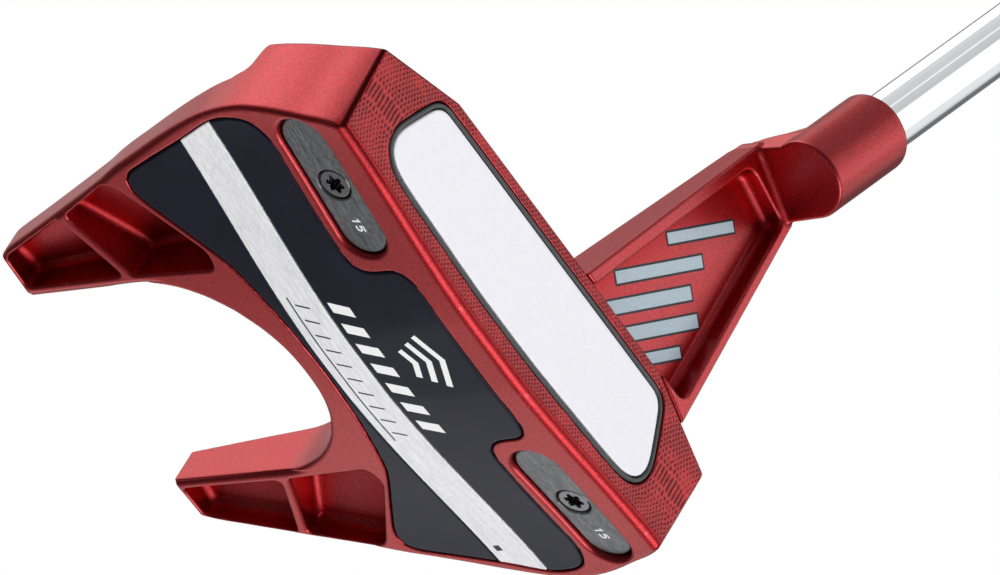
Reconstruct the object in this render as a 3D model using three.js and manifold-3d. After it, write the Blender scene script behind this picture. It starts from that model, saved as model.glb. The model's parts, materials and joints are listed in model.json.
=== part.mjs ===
// Mallet putter, right-handed: a fanged mallet head with a two-beam webbed hosel,
// a face insert in a backer tray, a sole plate with an inlaid strip, two sole
// weights held by screws, a steel shaft and a grip.
//
// Frame, millimetres: the origin lies on the flat of the sole, on the head's centre
// line, 3.5 mm behind the foot of the face. +X is towards the heel, -X towards the
// toe, the face looks along -Y, +Y is the back of the head, +Z is up. Outlines are
// drawn with y = 0 at the foot of the face and z = 0 at the sole's theoretical
// lowest point; SHIFT then moves the finished club into the frame.

import * as THREE from 'three';
import { mergeVertices } from 'three/addons/utils/BufferGeometryUtils.js';
import Module from 'manifold-3d';

const wasm = await Module();
wasm.setup();

// ---------------------------------------------------------------- dimensions

const DEG = Math.PI / 180;
const LOFT = 3 * DEG;              // face leans back
const LIE = 70 * DEG;              // shaft from the ground
const SEAM = 0.2;                  // gap round inlaid pieces
const SOLE_FLAT = 0.15;            // height at which the camber is cut to a flat
const SHIFT = new THREE.Vector3(0, -3.5, -SOLE_FLAT);

const FACE_HALF = 46.9;            // half width of the face
const TOP_Z = 26.2;                // flat top of the face bar
const TOP_HALF = 30.0;             // half width of that flat
const SHOULDER_DROP = 0.318;       // slope of the shoulders outside it
const BAR_BACK = 22.4;             // rear wall of the face bar
const BAR_HALF = 56;               // half width of the bar before trimming
const GAP_HALF = 21.6;             // half width of the gap between the fangs
const TIP_Y = 88.6;                // rear end of the fangs
const EDGE_CHAMFER = 0.9;          // bevel round the sole
const GAP_CHAMFER = 0.45;          // the same, inside the gap between the fangs
const LEADING_CUT = 1.25;          // height and slope of the leading edge bevel

const DECK_Z = 12.35;              // deck height at DECK_Y, inside the fangs
const DECK_Y = 60;
const DECK_SIDE_FALL = 0.13;       // fall per mm outwards across a fang
const DECK_REAR_FALL = 0.118;      // fall per mm rearwards
const FANG_ROOF = 2.3;             // thickness left above the hollows

const PLATE_T = 1.5;               // sole plate thickness
const PLATE_DEPTH = 1.8;           // recess it lies in
const PLATE_LIFT = 0.03;           // plate face above the sole surface
const STRIPE_Y0 = 27.8;            // inlaid strip, front edge
const STRIPE_Y1 = 36.0;            // inlaid strip, rear edge
const STRIPE_T = 0.6;
const STRIPE_LIFT = 0.01;
const STRIPE_SIDE_FIT = 0.15;      // clearance at the strip's long edges
const STRIPE_FLOOR_FIT = 0.2;      // clearance over it

// depths of weights and screws are measured up into the head from the sole
const WEIGHT_X = 35.65;            // centre of each sole weight
const WEIGHT_Y = 10.75;
const WEIGHT_L = 27.0;
const WEIGHT_W = 8.5;
const WEIGHT_T = 5.0;
const WEIGHT_RECESS = 0.8;         // depth of the weight's face
const WEIGHT_FIT = 0.6;            // pocket longer and wider than the weight
const POCKET_DEPTH = WEIGHT_RECESS + WEIGHT_T + 0.4;
const COUNTERBORE = 2.4;           // depth of the screw head's seat in the weight
const SCREW_FIT = 0.25;            // radial clearance of the screw in the weight
const SCREW_HEAD_R = 2.75;
const SCREW_HEAD_T = 1.95;
const SCREW_HEAD_SETBACK = 0.25;   // screw head deeper than the weight's face
const SCREW_SHANK_R = 1.9;         // M4 thread
const SCREW_END = 13.0;            // depth of the screw tip
const SCREW_HOLE_END = SCREW_END + 0.4;

const INSERT_T = 3.2;
const INSERT_FIT = 0.12;           // clearance either side of the insert's outline
const TRAY_RIM = 0.95;             // width of the tray's rim round the insert
const TRAY_T = 4.6;
const TRAY_POCKET = TRAY_T + 0.3;
const FACE_SETBACK = 0.02;         // insert and tray behind the face plane

// distances along the shaft axis are measured from the collar's lower end
const COLLAR_BASE = [31.35, -3.6, 70.0];
const COLLAR_R = 6.85;
const COLLAR_LEN = 19.2;
const BRIDGE_T = 5.2;
const BORE_R = 5.1;
const BORE_FLOOR = 2.6;

const BEAM_SIDE = -7.0;            // outer side of the toe beam, from the shaft axis
const BEAM_T = 2.4;
const FLANGE_X = 39.1;             // outer side of the upright heel flange
const FLANGE_T = 2.0;
const FIN_LIFT = 0.15;             // fin's foot above the top of the head
const FIN_BASE_Z = 26;             // height from which the fin's back leans forward
const FIN_BEND_Z = 71;             // height at which it turns in more steeply
const FIN_TOP_Z = 76;
const FIN_BACK_LEAN = 0.0476;
const FIN_BEND_Y = 11.4 - FIN_BACK_LEAN * (FIN_BEND_Z - FIN_BASE_Z);
const WEB_Y = 5.9;                 // front of the web at FIN_BASE_Z
const WEB_LEAN = 0.028;

const SHAFT_R = 4.95;              // 9.9 mm (0.390 in) parallel tip
const SHAFT_BUTT_R = 7.5;
const SHAFT_WALL = 1.0;
const CLUB_LENGTH = 863.6;         // 34 in along the shaft, ground to cap
const GRIP_LEN = 266;
const CAP_T = 3.2;
const CAP_TOP = CLUB_LENGTH - COLLAR_BASE[2] / Math.sin(LIE);
const CAP_SEAT = CAP_TOP - CAP_T;
const GRIP_TOP = CAP_SEAT - 0.3;   // the shaft ends here too
const GRIP_BOTTOM = GRIP_TOP - GRIP_LEN;
const TAPE_INNER_R = SHAFT_BUTT_R + 0.15;
const TAPE_OUTER_R = TAPE_INNER_R + 0.35;
const GRIP_BORE_R = TAPE_OUTER_R + 0.15;

// ------------------------------------------------------------ solids and meshes

function toSolid(geometry) {
  geometry.deleteAttribute('normal');
  geometry.deleteAttribute('uv');
  const merged = mergeVertices(geometry, 1e-4);
  return new wasm.Manifold(new wasm.Mesh({
    numProp: 3,
    vertProperties: new Float32Array(merged.attributes.position.array),
    triVerts: new Uint32Array(merged.index.array),
  }));
}

function indexedGeometry(position, index) {
  const geometry = new THREE.BufferGeometry();
  geometry.setAttribute('position', new THREE.BufferAttribute(new Float32Array(position), 3));
  geometry.setIndex(index);
  return geometry;
}

function toGeometry(solid) {
  const mesh = solid.getMesh();
  const geometry = indexedGeometry(mesh.vertProperties, Array.from(mesh.triVerts));
  geometry.computeVertexNormals();
  return geometry;
}

const toVectors = (points) => points.map(([x, y]) => new THREE.Vector2(x, y));

const extrude = (outline, depth) => new THREE.ExtrudeGeometry(
  new THREE.Shape(toVectors(outline)), { depth, bevelEnabled: false });

// outline in (x, y), extruded from z0 to z1, then moved into a frame
function prismZ(outline, z0, z1, frame = new THREE.Matrix4()) {
  return toSolid(extrude(outline, z1 - z0).translate(0, 0, z0).applyMatrix4(frame));
}

// outline in (x, z), extruded from y0 to y1
function prismY(outline, y0, y1) {
  return toSolid(extrude(outline, y1 - y0).rotateX(Math.PI / 2).translate(0, y1, 0));
}

// outline in (y, z), extruded from x0 to x1
function prismX(outline, x0, x1) {
  const axes = new THREE.Matrix4().makeBasis(
    new THREE.Vector3(0, 1, 0), new THREE.Vector3(0, 0, 1), new THREE.Vector3(1, 0, 0));
  return toSolid(extrude(outline, x1 - x0).applyMatrix4(axes).translate(x0, 0, 0));
}

// profile in (radius, z), turned about the z axis
function revolve(profile, segments) {
  return new THREE.LatheGeometry(toVectors(profile), segments).rotateX(Math.PI / 2);
}

const addQuad = (index, a, b, c, d) => index.push(a, b, c, a, c, d);

// closed solid between two height functions over a grid
function between(low, high, xs, ys) {
  const position = [];
  const index = [];
  for (const height of [low, high]) {
    for (const y of ys) for (const x of xs) position.push(x, y, height(x, y));
  }
  const lastX = xs.length - 1;
  const lastY = ys.length - 1;
  const at = (layer, i, j) => (layer * ys.length + j) * xs.length + i;
  for (let j = 0; j < lastY; j++) {
    for (let i = 0; i < lastX; i++) {
      addQuad(index, at(1, i, j), at(1, i + 1, j), at(1, i + 1, j + 1), at(1, i, j + 1));
      addQuad(index, at(0, i, j), at(0, i, j + 1), at(0, i + 1, j + 1), at(0, i + 1, j));
    }
  }
  const addWall = (i0, j0, i1, j1) => addQuad(
    index, at(0, i0, j0), at(0, i1, j1), at(1, i1, j1), at(1, i0, j0));
  for (let i = 0; i < lastX; i++) {
    addWall(i, 0, i + 1, 0);
    addWall(i + 1, lastY, i, lastY);
  }
  for (let j = 0; j < lastY; j++) {
    addWall(0, j + 1, 0, j);
    addWall(lastX, j, lastX, j + 1);
  }
  return toSolid(indexedGeometry(position, index));
}

// skin through rows of points, each row a loop of the same length; the ends are
// capped, or joined to each other when closed
function loft(rows, closed = false) {
  const size = rows[0].length;
  const count = rows.length;
  const index = [];
  const strips = closed ? count : count - 1;
  for (let row = 0; row < strips; row++) {
    const here = row * size;
    const next = ((row + 1) % count) * size;
    for (let i = 0; i < size; i++) {
      const k = (i + 1) % size;
      addQuad(index, here + i, here + k, next + k, next + i);
    }
  }
  if (!closed) {
    const triangles = (row) => THREE.ShapeUtils.triangulateShape(toVectors(row), []);
    const last = (count - 1) * size;
    for (const [a, b, c] of triangles(rows[0])) index.push(c, b, a);
    for (const [a, b, c] of triangles(rows[count - 1])) index.push(last + a, last + b, last + c);
  }
  return indexedGeometry(rows.flat(2), index);
}

// ------------------------------------------------------------- outline helpers

// moves a counter-clockwise loop outwards by a distance, or by distance(point)
function offset(points, distance) {
  const count = points.length;
  const edgeNormal = (from, to) => {
    const length = Math.hypot(to[0] - from[0], to[1] - from[1]);
    return [(to[1] - from[1]) / length, -(to[0] - from[0]) / length];
  };
  return points.map((point, i) => {
    const before = edgeNormal(points[(i + count - 1) % count], point);
    const after = edgeNormal(point, points[(i + 1) % count]);
    const sum = [before[0] + after[0], before[1] + after[1]];
    const length = Math.hypot(...sum);
    const x = sum[0] / length;
    const y = sum[1] / length;
    const miter = Math.max(0.5, x * before[0] + y * before[1]);
    const reach = (typeof distance === 'function' ? distance(point) : distance) / miter;
    return [point[0] + x * reach, point[1] + y * reach];
  });
}

// a half outline on x >= 0 and its mirror image, as one counter-clockwise loop
function mirrored(half) {
  const rest = half.filter(([x]) => x > 1e-6).map(([x, y]) => [-x, y]).reverse();
  const loop = half.concat(rest);
  return THREE.ShapeUtils.area(toVectors(loop)) < 0 ? loop.reverse() : loop;
}

// corners of a loop replaced by quadratic curves: points are [x, y, radius]
function rounded(points, steps) {
  const count = points.length;
  return points.flatMap(([x, y, radius], i) => {
    if (!radius) return [[x, y]];
    const before = points[(i + count - 1) % count];
    const after = points[(i + 1) % count];
    const back = [before[0] - x, before[1] - y];
    const ahead = [after[0] - x, after[1] - y];
    const backLength = Math.hypot(...back);
    const aheadLength = Math.hypot(...ahead);
    const cosine = (back[0] * ahead[0] + back[1] * ahead[1]) / backLength / aheadLength;
    const halfAngle = Math.acos(Math.max(-1, Math.min(1, cosine))) / 2;
    const trim = Math.min(radius / Math.tan(halfAngle), backLength * 0.48, aheadLength * 0.48);
    const start = [x + back[0] / backLength * trim, y + back[1] / backLength * trim];
    const end = [x + ahead[0] / aheadLength * trim, y + ahead[1] / aheadLength * trim];
    return range(0, 1, steps).map((w) => {
      const q = 1 - w;
      const blend = (from, corner, to) => q * q * from + 2 * q * w * corner + w * w * to;
      return [blend(start[0], x, end[0]), blend(start[1], y, end[1])];
    });
  });
}

// slot with round ends, long in x, centred on the origin
function stadium(length, width, steps = 10) {
  const radius = width / 2;
  const centre = length / 2 - radius;
  return [1, -1].flatMap((side) => range(0, Math.PI, steps).map((turn) => {
    const angle = turn - side * Math.PI / 2;
    return [side * centre + radius * Math.cos(angle), radius * Math.sin(angle)];
  }));
}

// loop about the origin with radius(angle)
function polar(radius, count) {
  return Array.from({ length: count }, (_, i) => {
    const angle = 2 * Math.PI * i / count;
    return [radius(angle) * Math.cos(angle), radius(angle) * Math.sin(angle)];
  });
}

const circle = (radius, count) => polar(() => radius, count);

const rectangle = (x0, x1, y0, y1) => [[x0, y0], [x1, y0], [x1, y1], [x0, y1]];

// start to end in equal steps, both included
function range(start, end, steps) {
  return Array.from({ length: steps + 1 }, (_, i) => start + (end - start) * i / steps);
}

// ----------------------------------------------------------- sole and top form

// terms of the sole's height: [coefficient, power of across, power of along]
const CAMBER = [
  [0.0232, 0, 0], [6.8406, 2, 0], [-2.5501, 4, 0], [0.2008, 0, 1],
  [0.3858, 0, 2], [0.7841, 2, 1], [-1.9117, 2, 2],
];

// the sole is cambered from heel to toe and nearly level from front to back
function soleZ(x, y) {
  const across = x / 48;
  const along = (y - 25) / 40;
  const height = CAMBER.reduce((sum, [k, m, n]) => sum + k * across ** m * along ** n, 0);
  return Math.max(SOLE_FLAT, height);
}

const aboveSole = (rise) => (x, y) => soleZ(x, y) + rise;

// top of the deck behind the face bar and of the fangs
function deckZ(x, y) {
  return DECK_Z - DECK_SIDE_FALL * Math.max(0, Math.abs(x) - GAP_HALF)
    - DECK_REAR_FALL * (y - DECK_Y);
}

// top of the face bar, with its sloping shoulders
const barTopZ = (x) => TOP_Z - SHOULDER_DROP * Math.max(0, Math.abs(x) - TOP_HALF);

const faceY = (z) => z * Math.tan(LOFT);

// grid lines of the surfaces that follow the sole and the deck
const GRID_X = [
  ...range(-58, -GAP_HALF, 9),
  ...range(-GAP_HALF, GAP_HALF, 8).slice(1),
  ...range(GAP_HALF, 58, 9).slice(1),
];
const GRID_Y = range(-12, 96, 9);

const layer = (low, high) => between(low, high, GRID_X, GRID_Y);
const below = (height) => layer(() => -12, height);

// ------------------------------------------------------------------ outlines

// head seen from above, heel half, [x, y]; the face plane cuts the front later
const WALL = mirrored([
  [0, -4], [FACE_HALF, -4], [FACE_HALF, 0.2], [47.8, 1.5], [48.9, 4], [50.1, 8],
  [51.4, 12], [52.3, 15.5], [52.95, 19.5], [53.0, 22.5], [52.75, 25.5], [52.0, 29.6],
  [50.4, 35.2], [48.6, 40.6], [46.2, 47.2], [43.6, 54.3], [41.3, 59.5], [36.1, 73.0],
  [33.4, 80.2], [31.0, 86.6], [29.8, TIP_Y], [22.0, TIP_Y], [21.2, 87.9], [21.25, 72],
  [21.3, 62.3], [20.95, 59.6], [20.1, 56.5], [18.8, 53.4], [17.2, 50.7], [15.5, 48.5],
  [13.7, 46.6], [11.8, 45.1], [9.6, 43.6], [6.8, 42.3], [3.6, 41.5], [0, 41.25],
]);

// sole plate, heel half, [x, y]
const PLATE = mirrored([
  [0, 6.15], [13.5, 6.2], [16.3, 6.6], [17.9, 7.5], [18.6, 9.0], [18.8, 12.8],
  [19.4, 15.0], [20.8, 16.5], [23.0, 17.1], [30, 17.45], [38, 17.6], [44.5, 17.35],
  [47.3, 17.9], [49.2, 19.0], [50.3, 20.8], [50.8, 23.3], [50.75, 26.3], [50.2, 28.8],
  [48.1, 34.6], [45.8, 41.5], [43.5, 48.5], [42.6, 50.6], [41.3, 52.0], [39.6, 52.2],
  [37.4, 51.3], [34.7, 49.5], [30.5, 46.5], [26.5, 43.6], [23.2, 41.5], [19.8, 40.2],
  [16, 39.1], [12, 38.1], [7, 37.3], [0, 36.9],
]);

// hollows under the heel fang, either side of a rib, from [x, y, corner radius]
const REAR_HOLLOW = rounded(
  [[23.1, 87.3, 1.0], [23.3, 65.3, 0.8], [35.8, 71.3, 0.8], [29.7, 87.3, 1.8]], 4);
const FRONT_HOLLOW = rounded([
  [23.2, 63.3, 0.8], [22.6, 45.2, 3.2], [26.2, 44.9, 3.0], [41.6, 56.6, 3.4], [36.2, 69.4, 0.8],
], 5);

// face insert square on to the face, heel half, [x, distance up the face]
const INSERT = mirrored([
  [0, 5.55], [8, 5.62], [14, 5.85], [20, 6.15], [26, 6.45], [30.5, 6.75],
  [33.2, 7.15], [35.2, 7.95], [36.6, 9.3], [37.15, 11.1], [37.0, 12.9], [36.2, 15.2],
  [33.9, 20.5], [33.1, 21.8], [31.9, 22.7], [30.2, 23.0], [0, 23.0],
]);
const TRAY = offset(INSERT, TRAY_RIM);

// side profile of the face bar, [y, z]
const BAR_SIDE = [
  [-10, -10], [24.6, -10], [24.6, 12.6], [23.5, 13.3], [22.9, 14.6],
  [BAR_BACK, 17.4], [22.1, 18.2], [21.7, 40], [-10, 40],
];

// hosel's tongue seen from above
const TONGUE = rectangle(13, 33, 7.4, 10.2);

// -------------------------------------------------------------------- frames

// x towards the heel, y up the face, z out of the face
const faceFrame = new THREE.Matrix4().makeBasis(
  new THREE.Vector3(1, 0, 0),
  new THREE.Vector3(0, Math.sin(LOFT), Math.cos(LOFT)),
  new THREE.Vector3(0, -Math.cos(LOFT), Math.sin(LOFT)));

// prism between two depths behind the face plane
const behindFace = (outline, front, rear) => prismZ(outline, -rear, -front, faceFrame);

// square to the sole at the middle of a weight; side is 1 for heel, -1 for toe
function weightFrame(side) {
  const slope = soleZ(WEIGHT_X + 0.5, WEIGHT_Y) - soleZ(WEIGHT_X - 0.5, WEIGHT_Y);
  const tilt = new THREE.Matrix4().makeRotationY(-side * Math.atan(slope));
  return new THREE.Matrix4()
    .makeTranslation(side * WEIGHT_X, WEIGHT_Y, soleZ(WEIGHT_X, WEIGHT_Y))
    .multiply(tilt);
}

// z up the shaft, x square to it on the heel side
const shaftDir = new THREE.Vector3(Math.cos(LIE), 0, Math.sin(LIE));
const sideDir = new THREE.Vector3(Math.sin(LIE), 0, -Math.cos(LIE));
const shaftFrame = new THREE.Matrix4()
  .makeBasis(sideDir, new THREE.Vector3(0, 1, 0), shaftDir)
  .setPosition(...COLLAR_BASE);

// [x, z] of a point beside the shaft axis and along it
const alongShaft = (aside, along) => [
  COLLAR_BASE[0] + aside * sideDir.x + along * shaftDir.x,
  COLLAR_BASE[2] + aside * sideDir.z + along * shaftDir.z,
];

// [x, z] where a line parallel to the shaft passes a height
function shaftLineAt(aside, height) {
  const [x, z] = alongShaft(aside, 0);
  return [x - (z - height) / shaftDir.z * shaftDir.x, height];
}

// ------------------------------------------------------------------ head body

// walls of the head, bevelled where they meet the sole
function headEnvelope() {
  const chamfer = ([x, y]) => (Math.abs(x) < GAP_HALF && y > 40 ? GAP_CHAMFER : EDGE_CHAMFER);
  const inset = offset(WALL, (point) => -2 * chamfer(point));
  return toSolid(loft([
    inset.map(([x, y]) => [x, y, -10]),
    inset.map(([x, y], i) => [x, y, soleZ(...WALL[i]) - chamfer(WALL[i])]),
    WALL.map((point) => [...point, soleZ(...point) + chamfer(point)]),
    WALL.map(([x, y]) => [x, y, 30]),
  ]));
}

function faceBar() {
  const front = [
    [-BAR_HALF, -6], [BAR_HALF, -6], [BAR_HALF, barTopZ(BAR_HALF)], [TOP_HALF, TOP_Z],
    [-TOP_HALF, TOP_Z], [-BAR_HALF, barTopZ(BAR_HALF)],
  ];
  return prismY(front, -10, 30).intersect(prismX(BAR_SIDE, -60, 60));
}

function headBody() {
  const deck = between(() => -8, deckZ, GRID_X, [8, 20, 24, 40, 60, 96]);
  let body = headEnvelope().intersect(faceBar().add(deck));
  body = body.subtract(below(soleZ));
  const aheadOfFace = [[-20, -10], [faceY(-10), -10], [faceY(40), 40], [-20, 40]];
  body = body.subtract(prismX(aheadOfFace, -70, 70));
  // bevelled leading edge between sole and face
  const leadingEdge = (x, y) => soleZ(x, 0) + LEADING_CUT - LEADING_CUT * y;
  body = body.subtract(between(() => -12, leadingEdge, GRID_X, [-3, 1.0]));

  body = body.subtract(
    prismZ(offset(PLATE, SEAM), -6, 12).intersect(below(aboveSole(PLATE_DEPTH))));
  const hollowTop = below((x, y) => deckZ(x, y) - FANG_ROOF);
  for (const side of [1, -1]) {
    for (const hollow of [REAR_HOLLOW, FRONT_HOLLOW]) {
      const outline = hollow.map(([x, y]) => [side * x, y]);
      body = body.subtract(prismZ(outline, -6, 14).intersect(hollowTop));
    }
  }
  body = body.subtract(behindFace(offset(TRAY, SEAM), -3, TRAY_POCKET));

  const pocket = stadium(WEIGHT_L + WEIGHT_FIT, WEIGHT_W + WEIGHT_FIT);
  const screwHole = circle(SCREW_SHANK_R + 0.2, 20);
  for (const side of [1, -1]) {
    const frame = weightFrame(side);
    body = body.subtract(prismZ(pocket, -5, POCKET_DEPTH, frame))
      .subtract(prismZ(screwHole, 3, SCREW_HOLE_END, frame));
  }
  // slot in the top of the face bar for the hosel's tongue
  return body.subtract(prismZ(offset(TONGUE, SEAM), 21.8, 40));
}

// ---------------------------------------------------------------------- hosel

// upright fin on top of the head, its front in the face plane
function hoselFin() {
  const footZ = (x) => barTopZ(x) + FIN_LIFT;
  const front = [
    shaftLineAt(BEAM_SIDE, footZ(0)), [TOP_HALF, footZ(TOP_HALF)], [FLANGE_X, footZ(FLANGE_X)],
    [FLANGE_X, 66.9], alongShaft(7.9, 1.0), alongShaft(BEAM_SIDE, 1.0),
  ];
  const side = [
    [faceY(20), 20], [11.55, 20], [11.55, 23.0], [FIN_BEND_Y, FIN_BEND_Z],
    [FIN_BEND_Y - 2.2, FIN_TOP_Z], [faceY(FIN_TOP_Z), FIN_TOP_Z],
  ];
  return prismY(front, 0, 14).intersect(prismX(side, 0, 50));
}

// bridge from the fin forward to the collar: a U seen along the shaft
function hoselBridge() {
  const plan = [
    [7.4, 12.7], [6.95, 6],
    ...range(0, -Math.PI, 14).map((t) => [COLLAR_R * Math.cos(t), COLLAR_R * Math.sin(t)]),
    [-7.1, 6], [-7.2, 11.4], [-6.4, 12.7],
  ];
  const side = [
    [-12, -1], [-12, BRIDGE_T], [-2, BRIDGE_T], [3, 4.3],
    [8, 3.1], [11, 1.9], [12.9, 0.4], [12.9, -1],
  ];
  return prismZ(plan, 0, BRIDGE_T + 2).intersect(prismX(side, -20, 20))
    .transform(shaftFrame.elements);
}

function hoselCollar() {
  const profile = [
    [0, 0.2], [COLLAR_R, 0.2], [COLLAR_R, COLLAR_LEN - 1.0],
    [COLLAR_R - 0.3, COLLAR_LEN - 0.3], [COLLAR_R - 1.0, COLLAR_LEN], [0, COLLAR_LEN],
  ];
  return toSolid(revolve(profile, 36).applyMatrix4(shaftFrame));
}

// opening between the beams, leaving a web at the back
function beamOpening() {
  const toeSide = BEAM_SIDE + BEAM_T;
  const heelX = FLANGE_X - FLANGE_T;
  const front = rounded([
    shaftLineAt(toeSide, 20),
    [31, 20],
    [31, 26.45],
    [heelX, 26.45, 2.1],
    [heelX, alongShaft(5.9, -4.1)[1] + 2.7, 1.6],
    [...alongShaft(toeSide, -2.7), 3.2],
  ], 5);
  const webY = (z) => WEB_Y + WEB_LEAN * (z - FIN_BASE_Z);
  const side = [[-6, 18], [webY(18), 18], [webY(80), 80], [-6, 80]];
  return prismY(front, -6, 14).intersect(prismX(side, 0, 60));
}

function hosel() {
  return hoselFin().add(hoselBridge()).add(hoselCollar())
    .subtract(beamOpening())
    .add(prismZ(TONGUE, 22.1, 30))
    .subtract(prismZ(circle(BORE_R, 32), BORE_FLOOR, 40, shaftFrame));
}

// -------------------------------------------------------------- inlaid pieces

const faceInsert = () => behindFace(offset(INSERT, -INSERT_FIT), FACE_SETBACK, INSERT_T);

function insertBacker() {
  const opening = behindFace(offset(INSERT, INSERT_FIT), -2, INSERT_T + 0.25);
  return behindFace(TRAY, FACE_SETBACK, TRAY_T).subtract(opening);
}

// strip right across the sole, widened by a clearance at each edge
const stripeBand = (fit) => prismZ(
  rectangle(-60, 60, STRIPE_Y0 - fit, STRIPE_Y1 + fit), -6, 12);

function solePlate() {
  const channel = stripeBand(STRIPE_SIDE_FIT)
    .intersect(below(aboveSole(STRIPE_T + STRIPE_FLOOR_FIT)));
  return prismZ(PLATE, -6, 12)
    .intersect(layer(aboveSole(PLATE_LIFT), aboveSole(PLATE_T)))
    .subtract(channel);
}

function soleStripe() {
  return prismZ(PLATE, -6, 12).intersect(stripeBand(0))
    .intersect(layer(aboveSole(STRIPE_LIFT), aboveSole(STRIPE_T)));
}

// ---------------------------------------------------------- weights and screws

function weight() {
  const seat = prismZ(circle(SCREW_HEAD_R + SCREW_FIT, 32), 0, WEIGHT_RECESS + COUNTERBORE);
  return prismZ(stadium(WEIGHT_L, WEIGHT_W), WEIGHT_RECESS, WEIGHT_RECESS + WEIGHT_T)
    .subtract(seat)
    .subtract(prismZ(circle(SCREW_SHANK_R + SCREW_FIT, 24), 0, 10));
}

function screw() {
  const headFace = WEIGHT_RECESS + SCREW_HEAD_SETBACK;
  const headInner = headFace + SCREW_HEAD_T;
  const profile = [
    [0, headFace], [SCREW_HEAD_R - 0.35, headFace], [SCREW_HEAD_R, headFace + 0.35],
    [SCREW_HEAD_R, headInner], [SCREW_SHANK_R, headInner], [SCREW_SHANK_R, SCREW_END - 0.6],
    [SCREW_SHANK_R - 0.5, SCREW_END], [0, SCREW_END],
  ];
  // six-lobed drive socket
  const socket = polar((angle) => 1.32 + 0.28 * Math.cos(6 * angle), 36);
  return toSolid(revolve(profile, 28)).subtract(prismZ(socket, 0, headFace + 1.5));
}

// ------------------------------------------------------------- shaft and grip

function shaft() {
  // [radius, distance along the axis]
  const outer = [
    [SHAFT_R, BORE_FLOOR + 0.3], [SHAFT_R, 62], [SHAFT_R + 0.25, 110],
    [SHAFT_BUTT_R - 0.1, 470], [SHAFT_BUTT_R, 500], [SHAFT_BUTT_R, GRIP_TOP],
  ];
  const inner = outer.map(([radius, along]) => [radius - SHAFT_WALL, along]).reverse();
  return revolve([...outer, ...inner, outer[0]], 36);
}

function gripTape() {
  const section = rectangle(TAPE_INNER_R, TAPE_OUTER_R, GRIP_BOTTOM + 4, GRIP_TOP - 2);
  return revolve([...section, section[0]], 32);
}

// stations of the grip: [distance from its lower end, half width, front, back]
const GRIP_STATIONS = [
  [0, 9.6, 9.4, 9.6], [3, 10.2, 9.9, 10.2], [40, 10.6, 10.1, 10.9],
  [100, 11.2, 10.4, 12.4], [160, 11.8, 10.7, 14.6], [205, 12.3, 11.0, 17.2],
  [235, 12.6, 11.1, 19.6], [252, 12.6, 11.0, 20.4], [262, 12.2, 10.6, 19.6],
  [GRIP_LEN, 11.2, 9.8, 17.6],
];

// pistol grip: flat front, round back, deeper near the butt
function grip() {
  const outer = GRIP_STATIONS.map(([distance, halfWidth, front, back]) =>
    circle(1, 36).map(([across, depth]) => [
      halfWidth * Math.sign(across) * Math.abs(across) ** 0.9,
      depth < 0 ? -front * Math.min(1, Math.abs(depth) ** 0.5 * 1.06) : back * depth,
      GRIP_BOTTOM + distance,
    ]));
  const bore = (along) => circle(GRIP_BORE_R, 36).map(([x, y]) => [x, y, along]);
  return loft([...outer, bore(GRIP_TOP), bore(GRIP_BOTTOM)], true);
}

// cap with a plug that reaches into the shaft
function gripEndCap() {
  const plugR = SHAFT_BUTT_R - SHAFT_WALL - 0.3;
  return revolve([
    [0, CAP_SEAT - 9], [plugR, CAP_SEAT - 9], [plugR, CAP_SEAT], [10.6, CAP_SEAT],
    [10.9, CAP_SEAT + 0.4], [10.6, CAP_TOP - 0.9], [9.6, CAP_TOP], [0, CAP_TOP],
  ], 36);
}

// ------------------------------------------------------------------ materials

const material = (settings) => new THREE.MeshStandardMaterial(settings);
const MATERIALS = {
  red: material({ color: 0x9c1f2b, roughness: 0.5, metalness: 0.6 }),
  backer: material({ color: 0x3c3f42, roughness: 0.5, metalness: 0.6 }),
  insert: material({ color: 0xececf2, roughness: 0.6, metalness: 0.0 }),
  plate: material({ color: 0x1c1d26, roughness: 0.25, metalness: 0.3 }),
  stripe: material({ color: 0xe4e4e8, roughness: 0.4, metalness: 0.9 }),
  gunmetal: material({ color: 0x55585c, roughness: 0.45, metalness: 0.9 }),
  darkSteel: material({ color: 0x2b2c30, roughness: 0.35, metalness: 0.9 }),
  steel: material({ color: 0xc9ccd0, roughness: 0.15, metalness: 1.0 }),
  tape: material({ color: 0xd8cfae, roughness: 0.9, metalness: 0.0 }),
  grip: material({ color: 0x17181a, roughness: 0.8, metalness: 0.0 }),
  cap: material({ color: 0x232427, roughness: 0.4, metalness: 0.0 }),
};

// ------------------------------------------------------------------- assembly

const club = new THREE.Group();

function place(name, geometry, finish, frame = new THREE.Matrix4()) {
  const mesh = new THREE.Mesh(geometry, finish);
  mesh.name = name;
  frame.decompose(mesh.position, mesh.quaternion, mesh.scale);
  mesh.position.add(SHIFT);
  club.add(mesh);
}

place('head_body', toGeometry(headBody()), MATERIALS.red);
place('hosel', toGeometry(hosel()), MATERIALS.red);
place('insert_backer', toGeometry(insertBacker()), MATERIALS.backer);
place('face_insert', toGeometry(faceInsert()), MATERIALS.insert);
place('sole_plate', toGeometry(solePlate()), MATERIALS.plate);
place('sole_stripe', toGeometry(soleStripe()), MATERIALS.stripe);
for (const [label, side] of [['toe', -1], ['heel', 1]]) {
  const frame = weightFrame(side);
  place(`${label}_weight`, toGeometry(weight()), MATERIALS.gunmetal, frame);
  place(`${label}_weight_screw`, toGeometry(screw()), MATERIALS.darkSteel, frame);
}
place('shaft', shaft(), MATERIALS.steel, shaftFrame);
place('grip_tape', gripTape(), MATERIALS.tape, shaftFrame);
place('grip', grip(), MATERIALS.grip, shaftFrame);
place('grip_end_cap', gripEndCap(), MATERIALS.cap, shaftFrame);

export default club;
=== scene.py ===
"""A mallet putter: head, hosel, sole plate, two weights, shaft and grip.

The face looks towards -y and leans back by LOFT, the sole lies just above z = 0,
and the shaft rises at LIE from the ground towards the heel side, +x. The toe is at -x.
"""
import json
import math
from itertools import combinations

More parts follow.
